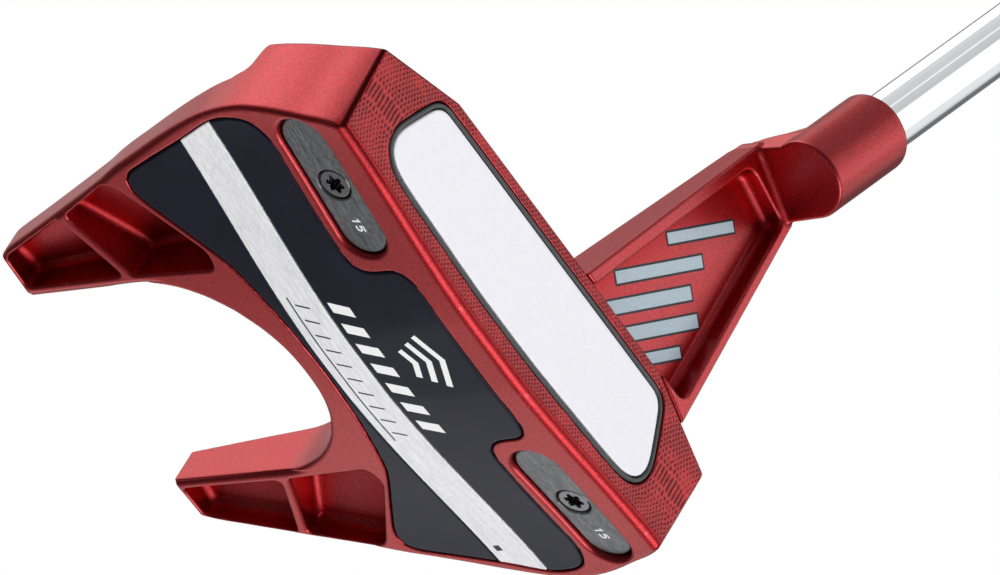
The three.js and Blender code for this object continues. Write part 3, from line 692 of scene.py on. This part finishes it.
def station_spline(column, along):
    """A column of GRIP_STATIONS read along the grip without overshoot."""
    place, value = GRIP_STATIONS[:, 0], GRIP_STATIONS[:, column]
    rise = np.diff(value) / np.diff(place)
    before, after = rise[:-1], rise[1:]
    mean = 2 * before * after / (before + after + 1e-12)
    slope = np.array([rise[0], *np.where(before * after > 0, mean, 0), rise[-1]])
    i = np.clip(np.searchsorted(place, along) - 1, 0, len(place) - 2)
    run = place[i + 1] - place[i]
    part = (along - place[i]) / run
    return hermite(part, value[i], run * slope[i], value[i + 1], run * slope[i + 1])


def grip_relief(along, angle, sine):
    """Scale of the section: slanted grooves round back and sides, and two end rings."""
    pitch, starts = 7.0, 12
    lean = angle * starts / (2 * math.pi)
    waves = np.maximum(np.cos(2 * math.pi * (along / pitch + lean)),
                       np.cos(2 * math.pi * (along / pitch - lean)))
    groove = np.clip(waves - 0.72, 0, 1) / 0.28
    zone = (np.clip((along - 16) / 3, 0, 1) * np.clip((GRIP_LEN - 22 - along) / 3, 0, 1)
            * np.clip((sine + 0.32) / 0.15, 0, 1))
    rings = (np.exp(-((along - 10) / 0.5) ** 2)
             + np.exp(-((along - (GRIP_LEN - 14)) / 0.5) ** 2))
    return 1 - 0.018 * groove * zone - 0.022 * rings


def build_grip():
    rows, around = ((520, 144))
    along = np.linspace(0, GRIP_LEN, rows)
    width, front, back = (station_spline(column, along)[:, None] for column in (1, 2, 3))
    along = along[:, None]
    angle = 2 * math.pi * np.arange(around) / around
    cosine, sine = np.cos(angle)[None, :], np.sin(angle)[None, :]
    x = width * np.sign(cosine) * np.abs(cosine) ** 0.9
    flat = -front * np.minimum(1, np.abs(sine) ** 0.5 * 1.06)
    y = np.where(sine < 0, flat, back * sine)
    relief = grip_relief(along, angle[None, :], sine)
    x, y = x * relief, y * relief
    outer = np.stack([x, y, np.broadcast_to(GRIP_BOTTOM + along, x.shape)], 2)
    bore_r = TAPE_OUTER + 0.15

    def bore(height):
        return np.stack([bore_r * np.cos(angle), bore_r * np.sin(angle),
                         np.full(around, height)], 1)

    def lip(row, height):
        return np.stack([row[:, 0] * 0.97, row[:, 1] * 0.97, np.full(around, height)], 1)

    loops = [bore(GRIP_BOTTOM), lip(outer[0], GRIP_BOTTOM), *outer[1:-1],
             lip(outer[-1], GRIP_TOP), bore(GRIP_TOP)]
    loops += [bore(height) for height in np.linspace(GRIP_TOP, GRIP_BOTTOM, 6)[1:-1]]
    start = np.arange(len(loops))[:, None] * around
    after = np.roll(start, -1, 0)
    k = np.arange(around)[None, :]
    j = (k + 1) % around
    quads = np.stack([start + k, start + j, after + j, after + k], 2).reshape(-1, 4)
    return make_object("grip_sleeve", np.concatenate(loops), quads, "club", SHAFT_FRAME)


def build_tape():
    """Tape sleeve under the grip, with fine ridges."""
    low, high, turns, ridge = GRIP_BOTTOM + 4, GRIP_TOP - 2, 40, 0.05
    stations = [(TAPE_INNER, low), (TAPE_OUTER - ridge, low)]
    stations += [(TAPE_OUTER - ridge * (k % 2), low + (high - low) * k / turns)
                 for k in range(1, turns)]
    return lathe("tape_wrap", stations + [(TAPE_OUTER, high), (TAPE_INNER, high)], 72)


def build_cap():
    """Butt cap: a ribbed stem inside the shaft and a disc with a ring and a hole."""
    stem = BUTT_R - SHAFT_WALL - 0.3
    disc = CAP_TOP - CAP_THICK
    stations = [(0, disc - 9), (stem - 0.5, disc - 9), (stem, disc - 8.5)]
    for k in range(5):
        rib = disc - 7.5 + k * 1.5
        stations += [(stem, rib), (stem - 0.25, rib + 0.45), (stem, rib + 0.9)]
    stations += [(stem, disc), (10.6, disc), (10.85, disc + 0.4)]
    # Radius and depth below the top.
    top = [(10.8, 1.6), (10.6, 0.9), (10.2, 0.4), (9.6, 0.05), (9.3, 0), (6.6, 0), (6.4, 0.1),
           (6.2, 0.35), (5.8, 0.35), (5.6, 0.1), (5.4, 0), (1.4, 0), (1.25, 0.15), (1.2, 2.2),
           (0, 2.2)]
    stations += [(radius, CAP_TOP - depth) for radius, depth in top]
    return lathe("butt_cap", stations, 96)


# ---------------------------------------------------------------- paint marks


def slab(name, strips, surface, inward, thick, material, body="club"):
    """Thin closed paint strips; each strip is a list of (left, right) points."""
    points, faces = [], []
    for pairs in strips:
        base = len(points)
        for pair in pairs:
            for place in pair:
                point = np.array(surface(*place), float)
                points += [point, point + thick * np.array(inward, float)]
        for at in range(base, len(points) - 4, 4):
            faces += [[at, at + 4, at + 6, at + 2], [at + 1, at + 3, at + 7, at + 5],
                      [at, at + 1, at + 5, at + 4], [at + 2, at + 6, at + 7, at + 3]]
        end = len(points) - 4
        faces += [[base, base + 2, base + 3, base + 1], [end, end + 1, end + 3, end + 2]]
    ob = make_object(name, points, faces, body, smooth=False)
    work = bmesh.new()
    work.from_mesh(ob.data)
    bmesh.ops.recalc_face_normals(work, faces=work.faces)
    work.to_mesh(ob.data)
    work.free()
    ob.data.materials.clear()
    ob.data.materials.append(material)


def stroke(points, width, step=1.2):
    """(left, right) pairs along a polyline with mitred turns."""
    points = np.array(points, float)
    dense = [points[0]]
    for start, end in zip(points[:-1], points[1:]):
        count = max(1, int(math.ceil(np.hypot(*(end - start)) / step)))
        dense += [start + (end - start) * k / count for k in range(1, count + 1)]
    edges = unit(np.diff(dense, axis=0))
    out = []
    for place, before, after in zip(dense, [edges[0], *edges], [*edges, edges[-1]]):
        mitre = np.array([-(before[1] + after[1]), before[0] + after[0]])
        mitre /= np.hypot(*mitre)
        reach = max(0.45, float(mitre @ [-before[1], before[0]]))
        side = mitre * width / 2 / reach
        out.append((place + side, place - side))
    return out


def slanted(x, y, width, height, lean):
    """A leaning bar as one strip, from its foot."""
    return [((x - width / 2 + lean * part, y + height * part),
             (x + width / 2 + lean * part, y + height * part))
            for part in (0, 0.25, 0.5, 0.75, 1.0)]


def on_sole(lift):
    return lambda x, y: (x, y, sole_z(x, y) + lift)


def mark_sole():
    up = (0, 0, 1)
    bars = [slanted(-13.2 + 4.4 * k, 26.3, width=2.1, height=-3.9, lean=1.5) for k in range(7)]
    slab("plate_bars", bars, on_sole(0.005), up, 0.12, PAINT_WHITE)
    chevrons = []
    for k in range(3):
        y, half = 11.4 + 2.9 * k, 5.6 - 1.3 * k
        arm_y = y + half * 0.42
        chevrons.append(stroke([(-half, arm_y), (0, y), (half, arm_y)], 1.15))
    slab("plate_chevrons", chevrons, on_sole(0.005), up, 0.12, PAINT_WHITE)
    ticks = [slanted(-14.4 + 3.2 * k, 33.2, width=0.34, height=-2.6, lean=1.0)
             for k in range(10)]
    ticks.append([((x, 34.15), (x, 33.85)) for x in [-16.0, *np.linspace(-12, 16.4, 12)]])
    ticks.append(stroke([(43.7, 33.9), (45.0, 33.9)], 1.3))
    slab("strip_ticks", ticks, on_sole(-0.012), up, 0.1, PAINT_BLACK)


def digit_one(x, width=0.30):
    return [stroke([(x - 0.42, 0.36), (x + 0.12, 0.74)], width * 0.8),
            stroke([(x - 0.14, -0.78), (x + 0.14, 0.78)], width)]


def digit_five(x, width=0.28):
    # The bowl: offset from x, height.
    bowl = [(-0.42, 0.06), (0.08, 0.20), (0.44, 0.06), (0.48, -0.22), (0.28, -0.54),
            (-0.10, -0.68), (-0.60, -0.62)]
    return [stroke([(x + 0.72, 0.66), (x - 0.24, 0.66)], width),
            stroke([(x - 0.24, 0.72), (x - 0.40, 0.04)], width),
            stroke([(x + across, y) for across, y in bowl], width, 0.2)]


def mark_weight(label, frame):
    """The number 15 on the weight's outer face, to +x of its screw."""
    axes, origin = frame

    def surface(across, up):
        return axes @ np.array([8.0 + across, -up, WEIGHT_RECESS - 0.012]) + origin

    slab(label + "_weight_grams", digit_one(-0.75) + digit_five(0.65), surface, axes[:, 2],
         0.08, PAINT_WHITE, label + "_weight")


def clip_line(place, along, outline):
    """Where the line place + t * along runs inside a convex outline."""
    low, high = -1e9, 1e9
    points = np.array(outline, float)
    for start, end in zip(points, np.roll(points, -1, 0)):
        edge = end - start
        inward = np.array([-edge[1], edge[0]])
        closing = inward @ along
        reach = -(inward @ (place - start)) / closing
        if closing > 0:
            low = max(low, reach)
        else:
            high = min(high, reach)
    return low, high


def mark_hosel():
    """Slanted bands, edged in black, on the front of the hosel's web."""
    low_z, high_z, right_x, left_edge = 27.2, 62.0, 36.1, POCKET_EDGE + 1.35
    window = [(shaft_line_x(left_edge, low_z), low_z), (right_x, low_z),
              (right_x, high_z), (shaft_line_x(left_edge, high_z), high_z)]
    lean, rim, longest = math.radians(52), 0.38, 22.0
    along = np.array([math.cos(lean), math.sin(lean)])
    across = np.array([-along[1], along[0]])
    black, silver = [], []

    def band(middle, half, low, high):
        return [(middle + along * t + across * half, middle + along * t - across * half)
                for t in np.linspace(low, high, 8)]

    # Offset from the middle band, width.
    for offset, width in [(0.0, 2.2), (4.6, 2.0), (9.2, 1.8), (-4.6, 2.2), (-9.0, 1.8)]:
        middle = np.array([27.5, 41.0]) + across * offset
        spans = [clip_line(middle + across * side * (width / 2 + 0.4), along, window)
                 for side in (-1, 1)]
        low = max(span[0] for span in spans)
        high = min(low + longest, *[span[1] for span in spans])
        black.append(band(middle, width / 2 + rim, low, high))
        silver.append(band(middle, width / 2, low + rim, high - rim))
    for name, strips, lift, slot, material in (
            ("web_band_edges", black, 0.02, "black_plate", PAINT_BLACK),
            ("web_bands", silver, 0.05, "bright_strip", PAINT_SILVER)):
        slab(name, strips, lambda x, z: (x, web_y(z) - lift, z), (0, 1, 0), 0.1, material)


def mark_deck():
    """One white sight line on the deck behind the face bar."""
    strip = [((-0.6, y), (0.6, y)) for y in np.linspace(25.6, 40.4, 8)]
    slab("sight_line", [strip], lambda x, y: (x, y, wing_z(x, y) + 0.02), (0, 0, -1), 0.1,
         PAINT_WHITE)


# ------------------------------------------------------------------ materials


class Nodes:
    """A cleared node tree; inputs are sockets to link or values to set."""

    def __init__(self, owner):
        owner.use_nodes = True
        self.tree = owner.node_tree
        self.tree.nodes.clear()

    def node(self, kind, inputs=None, **settings):
        node = self.tree.nodes.new(kind)
        for key, value in settings.items():
            setattr(node, key, value)
        for key, value in (inputs or {}).items():
            socket = node.inputs[key]
            if isinstance(value, bpy.types.NodeSocket):
                self.tree.links.new(value, socket)
            elif isinstance(value, tuple) and socket.type == "RGBA":
                socket.default_value = (*value, 1.0)
            else:
                socket.default_value = value
        return node

    def math(self, operation, *values):
        return self.node("ShaderNodeMath", dict(enumerate(values)), operation=operation).outputs[0]

    def times(self, first, *others):
        for other in others:
            first = self.math("MULTIPLY", first, other)
        return first

    def dot(self, vector, axis):
        return self.node("ShaderNodeVectorMath", {0: vector, 1: axis},
                         operation="DOT_PRODUCT").outputs["Value"]

    def remap(self, value, start=0.3, end=0.7, low=0.0, high=1.0, **settings):
        """Map start..end to low..high; the default range suits a noise."""
        ends = dict(enumerate((value, start, end, low, high)))
        return self.node("ShaderNodeMapRange", ends, **settings).outputs[0]


class Shader(Nodes):
    """A principled material whose textures work in millimetres."""

    def __init__(self, name):
        self.material = bpy.data.materials.new(name)
        super().__init__(self.material)
        place = self.node("ShaderNodeTexCoord").outputs["Object"]
        self.mm = self.node("ShaderNodeVectorMath", {0: place, "Scale": 1000.0},
                            operation="SCALE").outputs[0]

    def noise(self, scale, detail=3.0, rough=0.5, stretch=None):
        place = self.mm
        if stretch:
            place = self.node("ShaderNodeVectorMath", {0: place, 1: stretch},
                              operation="MULTIPLY").outputs[0]
        return self.node("ShaderNodeTexNoise", {
            "Vector": place, "Scale": scale, "Detail": detail, "Roughness": rough}).outputs[0]

    def mix(self, amount, base, colour):
        return self.node("ShaderNodeMix", {0: amount, 6: base, 7: colour},
                         data_type="RGBA").outputs[2]

    def tint(self, base, colour, by, start=0.3, end=0.7, most=1.0):
        """Blend base towards colour, up to most, as by goes from start to end."""
        return self.mix(self.remap(by, start, end, high=most), base, colour)

    def dim(self, value, by, amount):
        """Reduce value by a share, amount, where by is one."""
        return self.times(value, self.math("MULTIPLY_ADD", by, -amount, 1.0))

    def edges(self):
        return self.node("ShaderNodeNewGeometry").outputs["Pointiness"]

    def bump(self, height, strength, distance, under=None):
        inputs = {"Strength": strength, "Distance": distance, "Height": height}
        if under is not None:
            inputs["Normal"] = under
        return self.node("ShaderNodeBump", inputs).outputs[0]

    def done(self, **inputs):
        inputs = {key.replace("_", " "): value for key, value in inputs.items()}
        surface = self.node("ShaderNodeBsdfPrincipled", inputs).outputs[0]
        self.node("ShaderNodeOutputMaterial", {"Surface": surface})
        return self.material


def mill_face(shader, base, coat, bump):
    """Milled cells on the face above a plain lower edge, with painted shade in the cells, under
    them and along the toe edge.
    """
    calc, times, remap = shader.math, shader.times, shader.remap
    place = shader.node("ShaderNodeVectorMath", {0: shader.mm, 1: tuple(SHIFT)},
                        operation="SUBTRACT").outputs[0]
    depth = shader.dot(place, (0, COS_LOFT, -SIN_LOFT))
    up_face = shader.dot(place, (0, SIN_LOFT, COS_LOFT))
    x = shader.dot(place, (1, 0, 0))

    # Height above the sole's curve along the face.
    squared = times(x, x, 1 / SOLE_X**2)
    rise = times(squared, calc("MULTIPLY_ADD", squared, -2.5501, 5.6276))
    over = calc("SUBTRACT", calc("SUBTRACT", up_face, rise), 0.1)
    front = remap(calc("ABSOLUTE", depth), start=0.06, end=0.14, low=1, high=0)
    mask = times(front, remap(over, start=1.55, end=1.75))

    # Crossed waves, slightly bent and uneven, make the cells.
    column_pitch, row_rate, row_middle, row_ease, bend_rate = 0.86, 6.2, 13.2, 25.0, 0.004
    wobble = calc("SUBTRACT", shader.noise(scale=0.35, detail=2), 0.5)
    wobble = times(wobble, 0.7)
    row = calc("SUBTRACT", up_face, row_middle)
    eased = calc("SQRT", calc("MULTIPLY_ADD", row, row, row_ease))
    bend = times(row, row, bend_rate)
    column = calc("ADD", calc("ADD", x, bend), wobble)
    columns = calc("COSINE", times(column, 2 * math.pi / column_pitch))
    rows = calc("COSINE", times(calc("ADD", eased, wobble), row_rate))
    fade = remap(shader.noise(scale=0.22, detail=2), start=0.32, end=0.6, low=0.45)
    cell = times(times(columns, rows), fade, mask)
    bump = shader.bump(cell, strength=0.8, distance=0.00010, under=bump)
    # Painted shade in the cut cores of the cells: a darker base and a thinner coat.
    cut_in = times(remap(cell, start=-0.06, end=-0.6), mask)
    base = shader.mix(times(cut_in, 0.72), base, (0.13, 0.003, 0.006))
    coat = shader.dim(coat, by=cut_in, amount=0.8)
    coat = shader.dim(coat, by=mask, amount=0.2)

    nose = times(remap(over, start=1.75, end=1.5), remap(depth, start=2.0, end=1.2))
    coat = shader.dim(coat, by=nose, amount=0.55)

    # Painted shade: a dark line under the cells and a dark band round the toe edge.
    off_line = calc("ABSOLUTE", calc("SUBTRACT", over, 1.6))
    line = times(remap(off_line, start=0.06, end=0.2, low=0.45, high=0),
                 remap(depth, start=0.3, end=0.6, low=1, high=0))
    toe = times(remap(x, start=-33.0, end=-36.0), remap(up_face, start=2.5, end=4.5))
    relief = times(remap(depth, start=0.04, end=0.12), remap(depth, start=0.85, end=0.55), toe)
    shade = calc("MAXIMUM", line, times(relief, 0.93))
    base = shader.mix(shade, base, (0.06, 0.002, 0.004))
    return base, shader.dim(coat, by=shade, amount=0.95), bump


def red_metal(name, milled):
    """Grainy red coat over metal, painted shade in hollows and painted highlights on edges."""
    shader = Shader(name)
    grain = shader.noise(scale=3.1, rough=0.66)
    fine = shader.noise(scale=8.5, detail=2, rough=0.6)
    cloud = shader.noise(scale=0.16)
    open_sky = shader.node("ShaderNodeAmbientOcclusion", {"Distance": 8.0 * MM},
                           samples=4, only_local=True).outputs["AO"]
    base = shader.tint((0.36, 0.009, 0.015), (0.76, 0.028, 0.038), grain, start=0.34, end=0.66)
    base = shader.tint(base, (0.60, 0.020, 0.030), cloud, start=0.3, end=0.75, most=0.25)
    # Painted highlight: sharp edges, found by pointiness, turn pale pink.
    base = shader.tint(base, (0.85, 0.16, 0.17), shader.edges(), start=0.53, end=0.64, most=0.35)
    # Painted shade: where the AO node finds a hollow, the base turns dark red and the coat thins.
    base = shader.tint(base, (0.27, 0.001, 0.004), open_sky, start=0.72, end=0.34, most=0.95)
    coat = shader.remap(open_sky, start=0.55, end=0.92, low=0.04, high=0.8)
    rough = shader.remap(shader.noise(scale=2.4, detail=2), low=0.30, high=0.40)
    height = shader.math("ADD", shader.times(grain, 0.7), shader.times(fine, 0.5))
    bump = shader.bump(height, strength=0.75, distance=0.00006)
    if milled:
        base, coat, bump = mill_face(shader, base, coat, bump)
    return shader.done(Base_Color=base, Metallic=0.97, Roughness=rough, Normal=bump,
                       Specular_Tint=(0.55, 0.12, 0.14), Coat_Weight=coat, Coat_IOR=1.68,
                       Coat_Roughness=0.28)


def brushed(name, dark, light, along, rough, bump, metal=1.0):
    """Metal brushed along one axis, 0 to 2, with a painted highlight on its edges."""
    shader = Shader(name)
    stretch = tuple(0.045 if axis == along else 1.0 for axis in range(3))
    scale = 7.0
    fine = shader.noise(scale, rough=0.65, stretch=stretch)
    wide = shader.noise(scale * 0.22, detail=2, stretch=stretch)
    streaks = shader.math("ADD", shader.times(fine, 0.7), shader.times(wide, 0.3))
    base = shader.tint(dark, light, streaks, start=0.34, end=0.66)
    spots = shader.remap(shader.noise(scale=0.7, rough=0.6), start=0.55, end=0.8, high=0.12)
    rough = shader.math("ADD", shader.remap(fine, low=rough - 0.07, high=rough + 0.08), spots)
    # Painted highlight: a paler copy of the light colour on sharp edges, found by pointiness.
    edge_highlight = tuple(min(1, part * 1.9 + 0.05) for part in light)
    base = shader.tint(base, edge_highlight, shader.edges(), start=0.53, end=0.62, most=0.5)
    return shader.done(Base_Color=base, Metallic=metal, Roughness=rough,
                       Normal=shader.bump(fine, bump, distance=0.00003))


def gloss_black(name):
    shader = Shader(name)
    base = shader.tint((0.004, 0.0042, 0.0105), (0.0065, 0.0068, 0.0145),
                       shader.noise(scale=0.12))
    hair = shader.noise(scale=2.2, rough=0.7, stretch=(1.0, 0.05, 1.0))
    rough = shader.remap(hair, start=0.35, end=0.75, low=0.13, high=0.24)
    peel = shader.noise(scale=1.3, detail=2, rough=0.4)
    return shader.done(Base_Color=base, Roughness=rough,
                       Normal=shader.bump(peel, strength=0.06, distance=0.00004),
                       Specular_IOR_Level=0.2, Specular_Tint=(0.80, 0.82, 1.0))


def matte(name, dark, light, rough, scale, bump, metal=0.0, specular=0.5):
    shader = Shader(name)
    grain = shader.noise(scale, rough=0.6)
    patches = shader.noise(scale * 0.4, detail=2)
    return shader.done(Base_Color=shader.tint(dark, light, grain), Metallic=metal,
                       Roughness=shader.remap(patches, low=rough - 0.06, high=rough + 0.06),
                       Normal=shader.bump(grain, bump, distance=0.00004),
                       Specular_IOR_Level=specular)


def chrome(name):
    shader = Shader(name)
    hair = shader.noise(scale=3.0, rough=0.6, stretch=(1.0, 1.0, 0.02))
    base = shader.tint((0.80, 0.81, 0.835), (0.86, 0.87, 0.885),
                       shader.noise(scale=0.05, detail=2))
    rough = shader.remap(hair, start=0.35, end=0.75, low=0.035, high=0.085)
    return shader.done(Base_Color=base, Metallic=1.0, Roughness=rough,
                       Normal=shader.bump(hair, strength=0.03, distance=0.00002))


def rubber(name):
    shader = Shader(name)
    grain = shader.noise(scale=2.8, rough=0.65)
    dust = shader.noise(scale=0.09, detail=4, rough=0.6)
    base = shader.tint((0.014, 0.014, 0.016), (0.045, 0.044, 0.044), dust,
                       start=0.45, end=0.75, most=0.5)
    return shader.done(Base_Color=base, Roughness=shader.remap(grain, low=0.62, high=0.82),
                       Normal=shader.bump(grain, strength=0.35, distance=0.00008),
                       Specular_IOR_Level=0.35)


def paper(name):
    shader = Shader(name)
    fibre = shader.noise(scale=1.6, detail=4, rough=0.7)
    base = shader.tint((0.58, 0.50, 0.34), (0.74, 0.67, 0.50), fibre)
    return shader.done(Base_Color=base, Roughness=0.9,
                       Normal=shader.bump(fibre, strength=0.4, distance=0.00008))


RED_MILLED = red_metal("red_anodised_milled", milled=True)
RED_BLASTED = red_metal("red_blasted", milled=False)
TRAY = matte("dark_anodised", (0.075, 0.08, 0.085), (0.105, 0.11, 0.115),
             rough=0.42, scale=4.0, bump=0.2, metal=0.6)
WHITE = matte("white_urethane", (0.75, 0.745, 0.79), (0.79, 0.785, 0.83),
              rough=0.52, scale=1.5, bump=0.05, specular=0.3)
BLACK = gloss_black("black_coat")
BRIGHT = brushed("bright_brushed", (0.62, 0.62, 0.655), (0.95, 0.95, 0.97),
                 along=0, rough=0.36, bump=0.25, metal=0.15)
GUNMETAL = brushed("gunmetal_brushed", (0.052, 0.055, 0.062), (0.30, 0.307, 0.32),
                   along=0, rough=0.32, bump=0.5, metal=0.75)
DARK_STEEL = brushed("black_steel", (0.16, 0.16, 0.165), (0.34, 0.34, 0.35),
                     along=2, rough=0.2, bump=0.15)
CHROME = chrome("plated_shaft")
RUBBER = rubber("grip_rubber")
PAPER = paper("grip_tape_paper")
PLASTIC = matte("cap_plastic", (0.02, 0.02, 0.022), (0.034, 0.034, 0.037),
                rough=0.5, scale=2.5, bump=0.2)
PAINT_WHITE = matte("white_paint", (0.82, 0.82, 0.82), (0.88, 0.88, 0.87),
                    rough=0.45, scale=3.0, bump=0.1)
PAINT_BLACK = matte("black_paint", (0.006, 0.006, 0.008), (0.014, 0.014, 0.016),
                    rough=0.4, scale=3.0, bump=0.1)
PAINT_SILVER = matte("silver_paint", (0.34, 0.43, 0.49), (0.46, 0.55, 0.61),
                     rough=0.4, scale=4.0, bump=0.15, metal=0.25)


# ------------------------------------------------------------------- assembly


def install(ob, material, piece):
    """Paint an object and put it in place of a CAD piece."""
    ob.data.materials.append(material)
    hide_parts(piece)
    return ob


def install_weights():
    built = []
    for label, side in (("toe", -1), ("heel", 1)):
        frame = weight_frame(side)
        built.append((label, frame, build_weight(label, frame), build_screw(label, frame)))
    for label, frame, weight, screw in built:
        install(weight, GUNMETAL, label + "_weight")
        install(screw, DARK_STEEL, label + "_weight_screw")
        mark_weight(label, frame)


install(build_head(), RED_MILLED, "head_body")
install(build_hosel(), RED_BLASTED, "hosel")
install(insert_piece("insert_pad", rim=-0.12, end_radius=0.22, thick=INSERT_THICK, hollow=False),
        WHITE, "face_insert")
install(insert_piece("insert_tray", rim=TRAY_RIM, end_radius=0.25, thick=TRAY_THICK, hollow=True),
        TRAY, "insert_backer")
install(build_plate(), BLACK, "sole_plate")
install(build_stripe(), BRIGHT, "sole_stripe")
install_weights()
shaft = install(build_shaft(), CHROME, "shaft")
install(build_grip(), RUBBER, "grip")
install(build_tape(), PAPER, "grip_tape")
install(build_cap(), PLASTIC, "grip_end_cap")
mark_sole()
mark_hosel()
mark_deck()


# ------------------------------------------------------ stage, lights, camera

# Studio panels in metres-free directions: direction, level, cosine of the angle
# off it where the panel starts, and where it is full.
WORLD_BASE = 0.06
WORLD_PANELS = [
    ((0.0, 0.0, 1.0), 0.10, -0.25, 0.25),
    ((0.0, 0.0, 1.0), 0.15, 0.3, 1.0),
    ((-0.53, 0.64, 0.55), 0.97, 0.85, 0.965),
    ((-0.80, 0.30, 0.52), 0.80, 0.90, 0.98),
    ((0.20, 0.90, 0.40), 0.45, 0.92, 0.985),
    ((-0.33, 0.37, 0.865), 0.08, 0.90, 0.965),
    ((-0.40, -0.25, 0.88), 0.04, 0.86, 0.96),
    ((0.38, -0.66, 0.64), 0.46, 0.885, 0.92),
    ((0.47, -0.75, -0.40), 0.75, 0.90, 0.985),
    ((0.74, -0.42, 0.50), 0.55, 0.80, 0.97),
    ((0.48, -0.45, -0.75), 2.4, 0.88, 0.98),
    ((0.66, 0.58, -0.48), 0.32, 0.60, 0.95),
    ((0.66, 0.66, -0.36), 0.54, 0.93, 0.99),
]
# Lights on the whole club: name, direction.
FILLS = [("face_fill", (-0.2, -0.97, 0.1)), ("sole_fill", (-0.2, -0.15, -0.97))]
# Lights on the shaft alone: name, direction, size in metres, power in watts.
SHAFT_LIGHTS = [
    ("front", (0.36, -0.68, 0.64), 1.22, 3.4), ("rear", (-0.19, 0.50, 0.82), 1.05, 3.4),
    ("top", (-0.42, -0.06, 0.88), 1.1, 1.15), ("mid", (-0.2, -0.52, 0.83), 0.78, 0.55),
    ("side", (0.84, -0.30, 0.45), 1.15, 0.7),
]
# The camera looks up from below the floor; rows are its right, up and back axes.
CAMERA_PLACE = (-1.033531, -1.46461, -1.182391)
CAMERA_AXES = ((0.5266118, -0.72811763, 0.43877641),
               (-0.70259772, -0.08221101, 0.70682232),
               (-0.47857754, -0.68050427, -0.55486707))


def floor_material():
    """Pale to the camera from above; clear from below and to all other rays."""
    material = bpy.data.materials.new("floor")
    nodes = Nodes(material)
    noise = nodes.node("ShaderNodeTexNoise", {"Scale": 3.0}).outputs[0]
    grey = nodes.node("ShaderNodeMapRange", {0: noise, 3: 0.80, 4: 0.84}).outputs[0]
    diffuse = nodes.node("ShaderNodeBsdfDiffuse", {"Color": grey}).outputs[0]
    glow = nodes.node("ShaderNodeEmission", {"Strength": 0.16}).outputs[0]
    pale = nodes.node("ShaderNodeAddShader", {0: diffuse, 1: glow}).outputs[0]
    clear = nodes.node("ShaderNodeBsdfTransparent").outputs[0]
    behind = nodes.node("ShaderNodeNewGeometry").outputs["Backfacing"]
    camera_ray = nodes.node("ShaderNodeLightPath").outputs["Is Camera Ray"]
    seen = nodes.times(nodes.math("SUBTRACT", 1.0, behind), camera_ray)
    mixed = nodes.node("ShaderNodeMixShader", {0: seen, 1: clear, 2: pale}).outputs[0]
    nodes.node("ShaderNodeOutputMaterial", {"Surface": mixed})
    return material


def build_floor():
    cells, half = 24, 6.0
    ticks = [-half + 2 * half * k / cells for k in range(cells + 1)]
    row = cells + 1
    faces = [(j * row + i, j * row + i + 1, (j + 1) * row + i + 1, (j + 1) * row + i)
             for j in range(cells) for i in range(cells)]
    mesh = bpy.data.meshes.new("floor")
    mesh.from_pydata([(x, y, 0.0) for y in ticks for x in ticks], [], faces)
    ob = bpy.data.objects.new("floor", mesh)
    bpy.context.scene.collection.objects.link(ob)
    mesh.materials.append(floor_material())


def build_world():
    """White to the camera; a studio of soft panels to everything else."""
    world = bpy.data.worlds.new("studio")
    bpy.context.scene.world = world
    nodes = Nodes(world)
    view = nodes.node("ShaderNodeTexCoord").outputs["Generated"]
    panels = []
    for direction, level, start, end in WORLD_PANELS:
        axis = np.array(direction)
        facing = nodes.dot(view, tuple(axis / np.linalg.norm(axis)))
        panels.append(nodes.remap(facing, start, end, high=level,
                                  interpolation_type="SMOOTHSTEP"))
    total = panels[0]
    for part in [*panels[1:], WORLD_BASE]:
        total = nodes.math("ADD", total, part)
    camera_ray = nodes.node("ShaderNodeLightPath").outputs["Is Camera Ray"]
    level = nodes.node("ShaderNodeMix", {0: camera_ray, 2: total, 3: 1.0},
                       data_type="FLOAT").outputs[0]
    light = nodes.node("ShaderNodeBackground", {"Strength": level, "Color": (1, 1, 1)})
    nodes.node("ShaderNodeOutputWorld", {"Surface": light.outputs[0]})


def area_light(name, direction, size, power, target, shape, glossy, lit, distance=1.5):
    """A light aimed at target that reaches only the collection lit."""
    away = Vector(direction).normalized()
    data = bpy.data.lights.new(name, "AREA")
    data.shape, data.size, data.size_y = shape, size, size
    data.energy = power
    ob = bpy.data.objects.new(name, data)
    ob.location = Vector(target) + away * distance
    ob.rotation_euler = (-away).to_track_quat("-Z", "Y").to_euler()
    ob.visible_glossy = glossy
    bpy.context.scene.collection.objects.link(ob)
    ob.light_linking.receiver_collection = lit


def build_lights():
    club_lit = bpy.data.collections.new("club_lit")
    for ob in bpy.context.scene.collection.objects:
        if ob.type == "MESH" and ob.name != "floor":
            club_lit.objects.link(ob)
    for name, direction in FILLS:
        area_light(name, direction, size=0.9, power=15.0, target=(0, 0.03, 0.03),
                   shape="RECTANGLE", glossy=False, lit=club_lit)
    shaft_lit = bpy.data.collections.new("shaft_lit")
    shaft_lit.objects.link(shaft)
    for name, direction, size, power in SHAFT_LIGHTS:
        area_light("shaft_" + name, direction, size, power, target=(0.045, 0, 0.12),
                   shape="DISK", glossy=True, lit=shaft_lit)


def build_camera():
    data = bpy.data.cameras.new("camera")
    ob = bpy.data.objects.new("camera", data)
    bpy.context.scene.collection.objects.link(ob)
    turn = Matrix(CAMERA_AXES).transposed().to_4x4()
    ob.matrix_world = Matrix.Translation(CAMERA_PLACE) @ turn
    data.sensor_width = 36.0
    data.sensor_fit = "HORIZONTAL"
    data.lens = 493.56
    data.clip_start, data.clip_end = 0.05, 50.0
    bpy.context.scene.camera = ob


build_floor()
build_world()
build_lights()
build_camera()
bpy.context.scene.view_settings.view_transform = "Standard"
